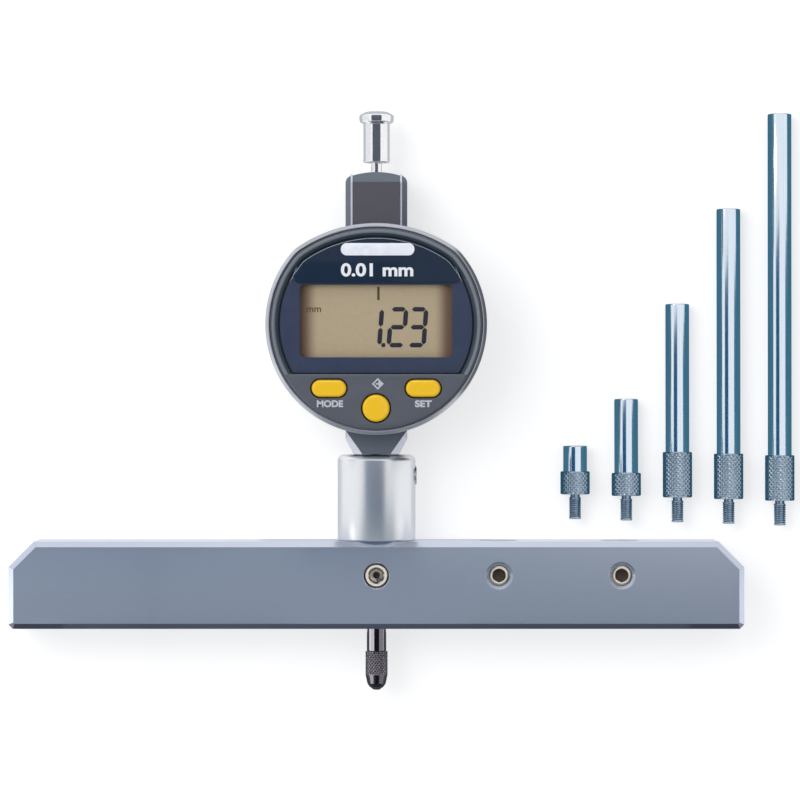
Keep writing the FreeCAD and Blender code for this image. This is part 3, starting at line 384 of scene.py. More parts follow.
def flat_piece(name, loops, low, high, edge, material, body, stands_for=()):
    """A plate between two heights from closed outlines: first its rim, and then its holes.

    It is a filled flat curve whose thickness and rounded edge come from the curve's own bevel.
    """
    curve = bpy.data.curves.new(name, "CURVE")
    curve.dimensions = "2D"
    curve.fill_mode = "BOTH"
    curve.extrude = ((high - low) / 2 - edge) * MM
    curve.bevel_depth = edge * MM
    curve.offset = -edge * MM
    curve.bevel_resolution = 2
    for place, loop in enumerate(loops):
        loop = loop if place == 0 else loop[::-1]
        spline = curve.splines.new("POLY")
        spline.points.add(len(loop) - 1)
        level, weight = np.zeros((len(loop), 1)), np.ones((len(loop), 1))
        flat = np.concatenate([loop * MM, level, weight], axis=1)
        spline.points.foreach_set("co", flat.reshape(-1))
        spline.use_cyclic_u = True
    shape = bpy.data.objects.new(name + "_curve", curve)
    mesh = bpy.data.meshes.new_from_object(shape)
    bpy.data.objects.remove(shape)
    bpy.data.curves.remove(curve)
    mesh.name = name
    lift = np.zeros(len(mesh.vertices) * 3)
    mesh.vertices.foreach_get("co", lift)
    lift[2::3] += (low + high) / 2 * MM
    mesh.vertices.foreach_set("co", lift)
    return finished(name, mesh, material, body, stands_for)


def words(name, text, width, height, x, y, z, thickness, material, bold=0.0):
    """Flat raised lettering of a width and cap height, centred at x and y, on a surface at z."""
    font = bpy.data.curves.new(name, "FONT")
    font.body = text
    font.size = height * MM / 0.7
    font.offset = bold * MM
    font.extrude = MM
    shape = bpy.data.objects.new(name + "_text", font)
    mesh = bpy.data.meshes.new_from_object(shape)
    bpy.data.objects.remove(shape)
    bpy.data.curves.remove(font)
    mesh.name = name
    co = np.zeros(len(mesh.vertices) * 3)
    mesh.vertices.foreach_get("co", co)
    co = co.reshape(-1, 3) / MM
    low, high = co.min(0), co.max(0)
    scale = np.array([width, height, thickness]) / (high - low)
    co = (co - (low + high) / 2) * scale + [x, y, z + thickness / 2]
    mesh.vertices.foreach_set("co", (co * MM).reshape(-1))
    return finished(name, mesh, material, GAUGE, flat=True)


def dressed(node, name, width, material, mouths=None):
    """A copy of a CAD node with its flat faces joined up and its edges rounded by a bevel.

    Each sharp edge is rounded by the width. The mouths of bores, for which mouths(x, y, z) is
    true at both ends of an edge, get a countersink of their own width.
    """
    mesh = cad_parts[node].data.copy()
    mesh.name = name
    work = bmesh.new()
    work.from_mesh(mesh)
    bmesh.ops.remove_doubles(work, verts=work.verts, dist=CAD_WELD)
    bmesh.ops.dissolve_limit(work, angle_limit=FLAT_ANGLE, verts=work.verts, edges=work.edges)
    widest = max(width, MOUTH_WIDTH) if mouths else width
    weights = work.edges.layers.float.new("bevel_weight_edge")
    for edge in work.edges:
        if edge.calc_face_angle(0) > ROUNDED_ANGLE:
            sunk = mouths and all(mouths(*(part / MM for part in end.co)) for end in edge.verts)
            edge[weights] = (MOUTH_WIDTH if sunk else width) / widest
    work.to_mesh(mesh)
    work.free()
    piece = finished(name, mesh, material, GAUGE, (node,))
    bevel = piece.modifiers.new("rounded edges", "BEVEL")
    bevel.width = widest * MM
    bevel.segments = 3
    bevel.limit_method = "WEIGHT"
    bevel.harden_normals = True
    bevel.use_clamp_overlap = True
    weighted = piece.modifiers.new("flat faces kept flat", "WEIGHTED_NORMAL")
    weighted.mode = "FACE_AREA"
    weighted.weight = 100
    weighted.keep_sharp = True
    return piece


# Materials


def empty_tree(block):
    """The node tree of a new material or world, with nothing in it."""
    block.use_nodes = True
    block.node_tree.nodes.clear()
    return block.node_tree


def add_node(tree, kind, inputs=None, **settings):
    """Adds a node, sets its own settings, and sets or links the inputs given by name or place."""
    node = tree.nodes.new("ShaderNode" + kind)
    for name, value in settings.items():
        setattr(node, name, value)
    for key, value in (inputs or {}).items():
        if isinstance(value, bpy.types.NodeSocket):
            tree.links.new(value, node.inputs[key])
        else:
            node.inputs[key].default_value = value
    return node


def specks(size, stretch=(1, 1, 1), detail=2.0, sharp=0.2, place="Object"):
    """A pattern of soft noise whose spots are size mm across, times a stretch for each axis."""

    def pattern(tree):
        source = add_node(tree, "TexCoord")
        unit = MM if place == "Object" else 1
        scale = [1 / (size * unit * part) for part in stretch]
        mapped = add_node(tree, "Mapping", {"Vector": source.outputs[place], "Scale": scale})
        noise = add_node(
            tree, "TexNoise", {"Vector": mapped.outputs[0], "Scale": 1.0, "Detail": detail}
        )
        spread = add_node(
            tree, "MapRange",
            {"Value": noise.outputs[0], "From Min": 0.5 - sharp, "From Max": 0.5 + sharp},
        )
        return spread.outputs[0]

    return pattern


def finish(name, dark, light, pattern, rough, bump=0.0, **sockets):
    """A material whose colour, roughness and relief follow one pattern.

    dark and light are the colours at the pattern's two ends, rough the roughness there, and bump
    the relief's height in millimetres. The other sockets are plain values on the shader.
    """
    if name in bpy.data.materials:
        return bpy.data.materials[name]
    material = bpy.data.materials.new(name)
    material.use_nodes = True
    tree = material.node_tree
    shader = tree.nodes["Principled BSDF"]
    for socket, value in sockets.items():
        shader.inputs[socket.replace("_", " ")].default_value = value
    factor = pattern(tree)
    colour = add_node(
        tree, "Mix", {0: factor, 6: (*linear(dark), 1), 7: (*linear(light), 1)}, data_type="RGBA"
    )
    tree.links.new(colour.outputs[2], shader.inputs["Base Color"])
    spread = add_node(tree, "MapRange", {"Value": factor, "To Min": rough[0], "To Max": rough[1]})
    tree.links.new(spread.outputs[0], shader.inputs["Roughness"])
    if bump:
        relief = add_node(tree, "Bump", {"Height": factor, "Distance": bump * MM})
        tree.links.new(relief.outputs[0], shader.inputs["Normal"])
    return material


def bar_steel():
    """Tool steel, hardened and surface ground: very fine short lines along the bar."""
    sizes = bpy.context.scene.depth_gauge_sizes
    dark, light = shades(sizes.bar_colour, 0.035)
    return finish(
        "ground tool steel", dark, light, specks(0.14, (22, 1, 1), sharp=0.35), (0.32, 0.38),
        bump=0.0006, Metallic=1.0,
    )


def satin_chrome():
    """Chrome plate on fine-turned steel: bright, softly blurred around the sleeve."""
    return finish(
        "satin chrome plate", "e2e5ea", "ebedf0", specks(0.12), (0.28, 0.34), bump=0.0005,
        Metallic=1.0,
    )


def polished_chrome():
    """Polished chrome plate: a near mirror with the faintest haze."""
    return finish(
        "polished chrome plate", "eceef1", "f6f7f9", specks(0.5), (0.06, 0.1), Metallic=1.0
    )


def rod_steel():
    """Silver steel, drawn and polished lengthwise: blue-grey with faint streaks along the rod."""
    return finish(
        "polished silver steel", "d3e2f0", "e2edf7", specks(0.22, (1, 90, 1), place="UV"),
        (0.1, 0.16), Metallic=1.0,
    )


def knurl_steel():
    """Silver steel after knurling: duller, and darker with the rolled grooves' shade painted in."""
    return finish(
        "knurled silver steel", "8899ab", "a9bac9", specks(0.3), (0.16, 0.26), Metallic=1.0
    )


def cut_steel():
    """Tool steel where a countersink has cut it: brighter than the ground face round it."""
    return finish(
        "countersunk tool steel", "d3d8e2", "e2e6ee", specks(0.3), (0.14, 0.22), Metallic=1.0
    )


def bright_cut_highlight():
    """Die-cast zinc bared by a cutter at the neck's edges: pale, with a violet cast and a painted
    highlight.
    """
    return finish("bright-cut zinc with painted highlight", "cdced9", "dcdde6", specks(0.3), (0.3, 0.4), Metallic=0.2)


def spindle_steel():
    """Stainless steel, centreless ground and polished: it mirrors what is round it in bands."""
    return finish(
        "ground stainless steel", "a5a2a8", "b3b0b6", specks(0.2, (1, 30, 1), place="UV"),
        (0.07, 0.12), Metallic=1.0,
    )


def contact_steel():
    """Hardened steel with a finely rolled knurl: dark grey-brown, satin on the ridges."""
    return finish(
        "hardened knurled steel", "8a868c", "a6a2a8", specks(0.2), (0.16, 0.24), Metallic=1.0
    )


def screw_steel():
    """Alloy steel, oil-quenched and tumbled: a warm cream; the brown deep in its socket is painted
    shade on a plug.
    """
    return finish(
        "tumbled alloy steel", "cdbca6", "dfd2c2", specks(0.7, sharp=0.4), (0.2, 0.3), Metallic=1.0
    )


def screw_rim_highlight():
    """A pale ring on a set screw's end: a painted highlight of the light its rim catches."""
    return finish(
        "pale screw rim with painted highlight", "e2d9d2", "efe9e4", specks(0.3), (0.3, 0.4), 0.02, Metallic=0.25
    )


def socket_shade_steel():
    """A dark brown steel for the plug deep in a socket: painted shade of the socket."""
    return finish(
        "dark brown painted socket shade", "3a2f29", "54473c", specks(0.3), (0.4, 0.55), 0.05, Metallic=0.6
    )


def zinc_steel():
    """Steel with bright zinc plate: pale and slightly blue."""
    return finish("zinc plated steel", "a9adb3", "c6cad0", specks(0.3), (0.25, 0.38), Metallic=1.0)


def case_paint():
    """Die-cast zinc under metallic grey enamel: a mid grey with a soft broad sheen."""
    return finish(
        "metallic grey enamel", "5d6670", "68717b", specks(0.18, detail=3.0), (0.38, 0.5),
        bump=0.002, Metallic=0.12,
    )


def head_paint():
    """ABS under silver-grey paint: pale, with fine metal flake."""
    return finish(
        "silver painted ABS", "b3b5bd", "c4c6cd", specks(0.12), (0.3, 0.4), bump=0.001,
        Metallic=0.85,
    )


def moulded_grey():
    """Grey ABS from a lightly spark-eroded mould: matt, with a grain of about 0.15 mm."""
    sizes = bpy.context.scene.depth_gauge_sizes
    dark, light = shades(sizes.panel_colour, 0.09)
    return finish(
        "moulded grey ABS", dark, light, specks(0.15, detail=3.0), (0.44, 0.58), bump=0.003
    )


def neck_grey():
    """Dark grey ABS plate with a violet cast, nearly smooth."""
    return finish("smooth dark ABS", "46454e", "4d4c55", specks(0.2), (0.4, 0.5), bump=0.001)


def slate_neck():
    """The lower neck's plate: the same ABS with a slate cast."""
    return finish("slate neck ABS", "555d67", "5d656f", specks(0.2), (0.4, 0.5), bump=0.001)


def recess_shade_slate():
    """The recess wall round the display: slate ABS, darker than the rim with the recess's shade
    painted in.
    """
    return finish("slate ABS with painted recess shade", "2a333d", "323b46", specks(0.2), (0.35, 0.45), bump=0.001)


def cover_black():
    """Glass-filled black nylon, moulded: matt, with a coarse fine-pitted grain."""
    return finish(
        "glass filled nylon", "26272a", "303135", specks(0.35, detail=4.0), (0.5, 0.66), bump=0.012
    )


def rim_grey():
    """The same ABS on the rim round the face, polished by handling to a satin."""
    return finish("satin grey ABS", "656d76", "727a83", specks(0.15), (0.3, 0.4), bump=0.001)


def navy_sheet():
    """Polycarbonate sheet printed navy on its back: a smooth satin face over a deep colour."""
    return finish(
        "back-printed navy polycarbonate", "323b50", "384157", specks(3.0, sharp=0.4), (0.3, 0.38),
        Specular_IOR_Level=0.15,
    )


def crown_gloss():
    """Gloss acrylic over navy print: darker than the band round it, with clear reflections."""
    return finish(
        "gloss navy acrylic", "1b2839", "202d41", specks(4.0, sharp=0.4), (0.08, 0.14),
        Specular_IOR_Level=0.12,
    )


def panel_edge():
    """The saw-cut edge of the gloss panel: a pale line, a painted highlight."""
    return finish("cut acrylic edge with painted highlight", "7d8794", "98a1ac", specks(0.4), (0.3, 0.4), IOR=1.49)


def key_yellow():
    """Yellow ABS, moulded in a polished tool: warm, with a soft gloss on its crown."""
    sizes = bpy.context.scene.depth_gauge_sizes
    dark, light = shades(sizes.key_colour, 0.03)
    return finish(
        "moulded yellow ABS", dark, light, specks(1.2, sharp=0.4), (0.26, 0.34),
        Specular_IOR_Level=0.32, Coat_Weight=0.5, Coat_Roughness=0.14,
    )


def white_ink():
    """Screen-printed white ink: matt and faintly uneven."""
    return finish("white screen print", "d3d6da", "e6e8ea", specks(0.25), (0.5, 0.6))


def grey_ink():
    """Screen-printed pale grey ink, thinner than the white."""
    return finish("grey screen print", "a9abb3", "bfc1c8", specks(0.2), (0.5, 0.6))


def badge_silver():
    """A blank satin label of metallised film."""
    return finish("metallised film", "dcdfea", "e8eaf3", specks(1.5), (0.3, 0.42), Metallic=0.1)


def segment_ink():
    """Switched liquid crystal seen against the polariser: nearly black navy."""
    return finish("switched liquid crystal", "161726", "1e1f31", specks(0.5), (0.5, 0.6))


def faint_ink():
    """Small fixed marks of the cell, switched on but thinner and browner than the digits."""
    return finish("thin liquid crystal mark", "4a3a2a", "57452f", specks(0.3), (0.5, 0.6))


def rubber():
    """Moulded nitrile rubber: black and matt."""
    return finish("nitrile rubber", "1a1a1b", "232324", specks(0.3), (0.6, 0.75), bump=0.003)


def lcd_film():
    """Reflective liquid crystal cell under its polariser film: tan, with brown painted shade at its
    ends.

    The share of brown painted shade is how far x lies past the clear middle, over the width of the
    shaded edge.
    """
    name = "reflective polariser film"
    material = finish(name, "ae9f7d", "bba98e", specks(0.9, detail=3.0, sharp=0.5), (0.45, 0.6))
    tree = material.node_tree
    shader = tree.nodes["Principled BSDF"]
    middle = shader.inputs["Base Color"].links[0].from_socket
    source = add_node(tree, "TexCoord")
    apart = add_node(tree, "SeparateXYZ", {0: source.outputs["Object"]})
    away = add_node(tree, "Math", {0: apart.outputs[0]}, operation="ABSOLUTE")
    edge = add_node(
        tree, "MapRange", {"Value": away.outputs[0], "From Min": 11.6 * MM, "From Max": 14.7 * MM},
        interpolation_type="SMOOTHSTEP",
    )
    # painted shade: brown towards the ends, where the window's frame shades the cell
    mixed = add_node(
        tree, "Mix", {0: edge.outputs[0], 6: middle, 7: (*linear("6c5241"), 1)}, data_type="RGBA"
    )
    tree.links.new(mixed.outputs[2], shader.inputs["Base Color"])
    return material


def clear_acrylic():
    """Clear cast acrylic: almost nothing but its faint surface reflection."""
    return finish(
        "clear acrylic", "08090a", "0d0e10", specks(8.0, detail=1.0), (0.03, 0.05), Alpha=0.04,
        IOR=1.49,
    )


INSIDE = {
    "sintered bronze": (
        ("8a6a3c", "a58350", (0.4, 0.55), 1.0),
        ("lower_guide_bush", "upper_guide_bush"),
    ),
    "zebra elastomer": (("8e8577", "b3aa9a", (0.6, 0.7), 0.0), ("lcd_contact_strips",)),
    "solder-masked glass epoxy": (
        ("11452a", "1a5a38", (0.3, 0.45), 0.0),
        ("main_circuit_board", "sensor_board"),
    ),
    "moulded epoxy": (("17181a", "222326", (0.45, 0.6), 0.0), ("circuit_chips", "board_header")),
    "moulded silicone": (("8f9196", "a5a7ac", (0.5, 0.62), 0.0), ("keypad_membrane",)),
    "stamped spring steel": (
        ("9b9890", "b9b6ad", (0.25, 0.4), 1.0),
        ("key_switches", "battery_contacts"),
    ),
    "nickel-plated steel": (("b4b6ba", "d0d2d5", (0.18, 0.3), 1.0), ("battery",)),
    "moulded acetal": (
        ("1d1e20", "292a2d", (0.4, 0.5), 0.0),
        ("battery_holder", "guide_rail", "scale_carrier"),
    ),
    "drawn spring wire": (
        ("6e6f74", "8b8c91", (0.25, 0.4), 1.0),
        ("return_spring", "spring_post", "guide_pin"),
    ),
    "etched copper on glass epoxy": (("6f5a20", "9c8236", (0.3, 0.42), 0.3), ("scale_strip",)),
}


def paint_node(node, material):
    """Gives a CAD node a finish in place of its plain one."""
    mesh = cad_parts[node].data
    mesh.materials.clear()
    mesh.materials.append(material)


# Pieces


def make_bar():
    """The base bar: the CAD solid with its edges broken and its spare bores countersunk."""
    low, high = corners("base_bar")
    middle_z = (low[2] + high[2]) / 2

    def mouths(x, y, z):
        on_a_face = min(abs(y - low[1]), abs(y - high[1])) < 0.01
        aside = min(math.hypot(x - bore, z - middle_z) for bore in SPARE_BORES)
        return on_a_face and aside < MOUTH_RADIUS

    dressed("base_bar", "base_bar_ground", 0.12, bar_steel(), mouths=mouths)


def make_screws():
    """The bar's set screws, the sleeve's clamp screw and the back cover's screws."""
    place_y = (corners("spigot_set_screw")[0][1] + corners("spigot_set_screw")[1][1]) / 2
    flush = corners("spigot_set_screw")[1][2]
    foot = corners("spigot_set_screw")[0][2]
    screw = socket_screw(2.3, flats=2.5, depth=1.7, top=flush, foot=foot, edge=0.1, mouth=1.6)
    # a pale ring round the socket: a painted highlight
    rim = ring_points(
        [
            (1.62, flush - 0.1),
            (1.74, flush + 0.03),
            (2.1, flush + 0.03),
            (2.24, flush - 0.1),
            (1.9, flush - 0.2),
            (1.62, flush - 0.1),
        ]
    )
    # a dark plug deep in the socket: painted shade
    shade = socket_shade(1.1, flush - 1.2, flush - 1.9) + [0, place_y, 0]
    grid_piece("spigot_socket_shade", shade, socket_shade_steel(), GAUGE)
    grid_piece("spigot_screw_rim_highlight", rim + [0, place_y, 0], screw_rim_highlight(), GAUGE)
    grid_piece(
        "spigot_screw_end", screw + [0, place_y, 0], screw_steel(), GAUGE,
        ("spigot_set_screw",),
    )
    low, high = corners("spare_set_screws")
    sunk = socket_screw(2.45, flats=2.5, depth=1.7, top=high[2], foot=low[2], edge=0.7)
    # a dark plug deep in the socket: painted shade
    shade = socket_shade(2.5, high[2] - 0.4, low[2] + 0.1)
    # a pale ring round the socket: a painted highlight
    rim = ring_points(
        [
            (1.4, high[2] - 0.05),
            (1.46, high[2] + 0.03),
            (1.66, high[2] + 0.02),
            (1.8, high[2] - 0.12),
            (1.4, high[2] - 0.05),
        ]
    )
    front = BAR_FRONT_Z
    cone = ring_points(
        [(2.8, front), (2.1, front - 0.7), (2.1, front - 0.9), (2.52, front - 0.9), (2.8, front)]
    )
    for name, x, nodes in (
        ("25", low[0] + 2.5, ("spare_set_screws",)),
        ("50", high[0] - 2.5, ()),
    ):
        place = [x, place_y, 0]
        title = "spare_screw_end_" + name
        grid_piece(title, sunk + place, screw_steel(), GAUGE, nodes)
        grid_piece("spare_bore_cone_" + name, cone + place, cut_steel(), GAUGE)
        grid_piece("spare_screw_rim_highlight_" + name, rim + place, screw_rim_highlight(), GAUGE)
        grid_piece("spare_socket_shade_" + name, shade + place, socket_shade_steel(), GAUGE)
    low, high = corners("sleeve_clamp_screw")
    clamp = socket_screw(2.0, flats=2.0, depth=1.5, top=high[0], foot=low[0], mouth=1.3)
    grid_piece(
        "sleeve_screw_end", turned_to_x(clamp) + [0, (low[1] + high[1]) / 2, 0], zinc_steel(),
        GAUGE, ("sleeve_clamp_screw",),
    )
    low, high = corners("back_cover_screws")
    radius = 1.6
    head = socket_screw(radius, flats=1.5, depth=0.7, top=0, foot=-2.1, edge=0.2, columns=48)
    head = head * [1, 1, -1]
    nodes = ("back_cover_screws",)
    left, right = low[0] + radius, high[0] - radius
    near, far = low[1] + radius, high[1] - radius
    for index, (x, y) in enumerate(((left, near), (right, near), (left, far), (right, far))):
        place = [x, y, low[2]]
        grid_piece(
            f"cover_screw_head_{index + 1}", (head + place)[:, ::-1], zinc_steel(), GAUGE,
            nodes,
        )
        nodes = ()


def make_sleeve():
    """The sleeve: a turned cylinder with a well rounded top, its spigot and its stepped passage."""
    low, high = corners("stem_sleeve")
    foot = BAR_TOP_Y
    radius = high[0]
    seat = corners("indicator_stem")[0][1] - 0.3
    line = [
        (3.25, low[1]),
        (3.98, low[1]),
        (3.98, foot),
        (radius, foot),
        (radius, high[1]),
        (4.02, high[1]),
        (4.02, seat),
        (3.25, seat),
        (3.25, low[1]),
    ]
    profile = rounded(line, [0.2, 0, 0.35, 1.25, 0.2, 0, 0.1], steps=8)
    points, place = turned(profile, 192)
    grid_piece(
        "stem_sleeve_turned", points, satin_chrome(), GAUGE, ("stem_sleeve",),
        uv=place,
    )
    paint_node("indicator_stem", zinc_steel())


def make_case():
    """The case with its back cover, seal, battery lid, dark neck plates and pale edges with painted
    highlights.
    """
    dressed("indicator_case", "indicator_case_enamelled", 0.16, case_paint())
    dressed("back_cover", "back_cover_moulded", 0.15, cover_black())
    dressed("battery_lid", "battery_lid_moulded", 0.12, cover_black())
    dressed("upper_neck_plate", "upper_neck_plate_moulded", 0.06, neck_grey())
    dressed("lower_neck_plate", "lower_neck_plate_moulded", 0.06, slate_neck())
    paint_node("case_gasket", rubber())
    make_neck_edges()


def make_neck_edges():
    """The pale edges beside the neck plates, bright-cut with a painted highlight: two slim strips
    above and two facets below.

    Each is a row of cross-sections along Y. The strips follow the case's front and the slope at
    its top. A facet falls from the edge of the V-shaped plate to the case's outer edge.
    """
    face = corners("indicator_case")[1][2]
    top = corners("indicator_case")[1][1]
    plate_low, plate_high = corners("upper_neck_plate")
    inner, outer = plate_high[0] + 0.02, plate_high[0] + 0.36
    rise, sunk = 0.08, 0.3
    slope_fall, slope_run = 1.4, 2.1
    slope_end = top - 0.45
    for side, name in ((-1, "left"), (1, "right")):
        rows = []
        for y, z in (
            (plate_low[1], face),
            (plate_high[1], face),
            (slope_end, face - slope_fall / slope_run * (slope_end - plate_high[1])),
        ):
            rows.append(
                [
                    (side * inner, y, z - sunk),
                    (side * inner, y, z + rise),
                    (side * outer, y, z + rise),
                    (side * (outer + 0.1), y, z - sunk),
                ]
            )
        rows = capped(np.array(rows))
        # a pale strip on the case's front: a bright-cut edge with a painted highlight
        grid_piece("upper_neck_highlight_edge_" + name, rows, bright_cut_highlight(), GAUGE)
    low, high = corners("lower_neck_plate")
    foot, bend = low[1], low[1] + 4.8
    narrow, wide = 2.87, 6.2  # the plate's half width at its foot and where it bends
    case_narrow, case_flare = 4.65, 1.65  # the case's half width at its foot, and what it gains
    outside = corners("indicator_case")[0][1] + 3.2
    for side, name in ((-1, "left"), (1, "right")):
        rows = []
        for share in np.linspace(0, 1, 7):
            y = foot + 0.05 + share * (bend - foot - 0.1)
            plate = narrow + share * (wide - narrow)
            edge = case_narrow + min((y - foot) / (outside - foot), 1) * case_flare - 0.02
            edge = max(edge, plate + 0.1)
            rows.append(
                [
                    (side * plate, y, face - 1.5),
                    (side * plate, y, face + 0.42),
                    (side * edge, y, face - 0.75),
                    (side * edge, y, face - 1.5),
                ]
            )
        rows = capped(np.array(rows))
        # a pale facet on the case's chamfer: a bright-cut edge with a painted highlight
        grid_piece("lower_neck_highlight_facet_" + name, rows, bright_cut_highlight(), GAUGE)


def make_head():
    """The head's shell, the rim and the recess wall round its face, and the key panel."""
    outline = head_outline()
    back = HEAD_LOW[2]
    front = HEAD_HIGH[2]
    line = [
        (1.6, back),
        (0, back),
        (0, front - 0.75),
        (0.6, front),
        (0.8, front),
        (0.8, back + 1.0),
        (1.6, back + 1.0),
    ]
    profile = rounded(line, [1.4, 0.4, 0.1, 0.06, 0], steps=7)
    shell = swept(outline, profile)
    shell = closed_over(shell[::-1], (0, HEAD_Y, back))
    shell = closed_over(shell[::-1], (0, HEAD_Y, back + 1.0))
    grid_piece("head_shell_painted", shell, head_paint(), GAUGE, ("head_shell",))
    low, high = corners("front_bezel")
    face = high[2]
    line = [
        (2.2, low[2]),
        (0.85, low[2]),
        (0.85, GROOVE_Z),
        (1.3, GROOVE_Z),
        (1.3, face),
        (1.75, face),
        (2.0, face - 0.25),
        (2.2, low[2]),
    ]
    profile = rounded(line, [0, 0.1, 0.1, 0.12, 0.12, 0], steps=4)
    grid_piece(
        "bezel_rim", swept(outline, profile), rim_grey(), GAUGE, ("front_bezel",)
    )
    line = [
        (3.4, low[2]),
        (1.78, low[2]),
        (1.78, face - 0.06),
        (2.62, face - 0.8),
        (2.68, LEDGE_Z + 0.1),
        (3.4, LEDGE_Z),
        (3.4, low[2]),
    ]
    profile = rounded(line, [0, 0.05, 0.08, 0, 0], steps=3)
    # the recess wall's dark slate paints the shade inside the recess
    grid_piece("recess_wall", swept(outline, profile), recess_shade_slate(), GAUGE)
    make_key_panel(face)


def cut_outline(inset, level, corner, side):
    """The head's outline drawn in by an inset, on one side of a level, with two rounded corners.

    The side is 1 for the part above the level and -1 for the part below it.
    """
    points, normals = head_outline()
    inner = points - inset * normals
    keep = inner[side * (inner[:, 1] - level) > 0]
    order = np.argsort(np.arctan2(keep[:, 0] * -side, (keep[:, 1] - level) * side))
    keep = keep[order]
    first, last = keep[0], keep[-1]
    start = np.array([[np.interp(level, *column(inner, first)), level]])
    end = np.array([[np.interp(level, *column(inner, last)), level]])
    line = np.concatenate([start, keep, end])
    reach = 4  # points of the outline that each corner takes up
    head = rounded([end[0], start[0], line[1 + reach]], [corner], steps=6)[1:-1]
    tail = rounded([line[-2 - reach], end[0], start[0]], [corner], steps=6)[1:-1]
    middle = line[2 + reach : -2 - reach]
    return np.concatenate([head, middle, tail])


def column(inner, near):
    """The outline's y and x near one of its ends, sorted by y, to find x at a level."""
    side = inner[np.sign(inner[:, 0]) == np.sign(near[0])]
    side = side[np.abs(side[:, 1] - near[1]) < 3]
    side = side[np.argsort(side[:, 1])]
    return side[:, 1], side[:, 0]


def key_places():
    """Name, middle, width and height of each key, from its CAD node less its flange."""
    places = []
    for node in ("mode_key", "set_key", "output_key"):
        low, high = corners(node)
        middle = (low + high) / 2
        width, height = (high - low)[:2] - 1.1
        places.append((node, middle[0], middle[1], width, height, high[2]))
    return places


def make_key_panel(face):
    """The grey panel below the display with its three key holes, level with the rim."""
    low, high = corners("display_panel")
    rim = cut_outline(1.28, low[1] - 0.05, 0.15, -1)
    holes = [
        stadium_outline(x, y, width + 0.5, height + 0.5)[0]
        for _, x, y, width, height, _ in key_places()
    ]
    top = face + 0.03
    flat_piece(
        "key_panel", [rim, *holes], top - 1.4, top, 0.22, moulded_grey(), GAUGE
    )


def make_display():
    """The navy panel, the crown panel with its blank label, the window and the display cell."""
    low, high = corners("display_panel")
    window_low, window_high = corners("display_window")
    centre = (window_low + window_high)[:2] / 2
    width, height = (window_high - window_low)[:2] + 0.1
    rim = cut_outline(2.95, low[1] + 0.12, 0.7, 1)
    hole = box_outline(*centre, width, height, 1.0)
    flat_piece(
        "display_panel_navy", [rim, hole], low[2], high[2], 0.1, navy_sheet(), GAUGE,
        ("display_panel",),
    )
    low, high = corners("crown_panel")
    top = high[2]
    # a pale line round the gloss panel: its cut edge with a painted highlight
    flat_piece(
        "crown_panel_edge_highlight", [cut_outline(3.05, low[1], 1.2, 1)], low[2], top - 0.02, 0.1,
        panel_edge(), GAUGE,
    )
    flat_piece(
        "crown_panel_gloss", [cut_outline(3.18, low[1] - 0.02, 1.1, 1)], low[2], top + 0.04, 0.06,
        crown_gloss(), GAUGE, ("crown_panel",),
    )
    top += 0.04
    flat_piece(
        "blank_label", [box_outline(0.3, 77.05, 14.85, 2.5, 1.2)], top - 0.05, top + 0.08, 0.04,
        badge_silver(), GAUGE,
    )
    ink = white_ink()
    words("resolution_mark", "0.01 mm", 14.6, 2.7, 0.2, 72.9, top, 0.04, ink, 0.12)
    paint_node("display_window", clear_acrylic())
    paint_node("lcd_cell", lcd_film())
    make_reading(corners("lcd_cell")[1][2])


def box_outline(x, y, width, height, corner, steps=8):
    """Points around a rectangle with rounded corners."""
    half_x, half_y = width / 2, height / 2
    line = [
        (x, y - half_y),
        (x + half_x, y - half_y),
        (x + half_x, y + half_y),
        (x - half_x, y + half_y),
        (x - half_x, y - half_y),
        (x, y - half_y),
    ]
    return rounded(line, [corner] * 4, steps)[:-1]


SEGMENTS = {
    "top": ((0, 1), (1, 1)),
    "upper left": ((0, 0.5), (0, 1)),
    "upper right": ((1, 0.5), (1, 1)),
    "middle": ((0, 0.5), (1, 0.5)),
    "lower left": ((0, 0), (0, 0.5)),
    "lower right": ((1, 0), (1, 0.5)),
    "foot": ((0, 0), (1, 0)),
}
DIGITS = {
    "1": ("upper right", "lower right"),
    "2": ("top", "upper right", "middle", "lower left", "foot"),
    "3": ("top", "upper right", "middle", "lower right", "foot"),
}


def segment(name, start, end, half, z, slant):
    """One bar of a digit: a run between two points with pointed ends, leaning by a slant."""
    start, end = np.array(start, float), np.array(end, float)
    way = (end - start) / np.linalg.norm(end - start)
    side = np.array([-way[1], way[0]]) * half
    gap = 0.09
    a, b = start + way * gap, end - way * gap
    shoulder = way * half
    loop = np.array(
        [a, a + shoulder + side, b - shoulder + side, b, b - shoulder - side, a + shoulder - side]
    )
    upright_y = 58.0  # where the lean leaves x as it is
    loop[:, 0] += slant * (loop[:, 1] - upright_y)
    flat_piece(name, [loop], z, z + INK_HEIGHT, 0.005, segment_ink(), GAUGE)


def make_reading(z):
    """The reading: slanting seven-segment digits, their point, the bar above and the unit."""
    low_y, height, width, half, slant = 57.75, 7.25, 3.0, 0.46, 0.075
    for digit, x in (("1", -2.35), ("2", 2.55), ("3", 6.6)):
        for part in DIGITS[digit]:
            (x0, y0), (x1, y1) = SEGMENTS[part]
            start = (x + x0 * width, low_y + y0 * height)
            end = (x + x1 * width, low_y + y1 * height)
            segment(f"digit_{digit}_{part.replace(' ', '_')}", start, end, half, z, slant)
    point = box_outline(1.45, low_y, 0.8, 0.8, 0.15, 2)
    bar = box_outline(0.45, 68.2, 0.5, 2.7, 0.1, 2)
    for name, loop, ink in (
        ("digit_point", point, segment_ink()),
        ("scale_bar", bar, faint_ink()),
    ):
        flat_piece(name, [loop], z, z + INK_HEIGHT, 0.005, ink, GAUGE)
    words("unit_mark", "mm", 2.9, 0.95, -12.6, 64.9, z, INK_HEIGHT, faint_ink(), 0.02)


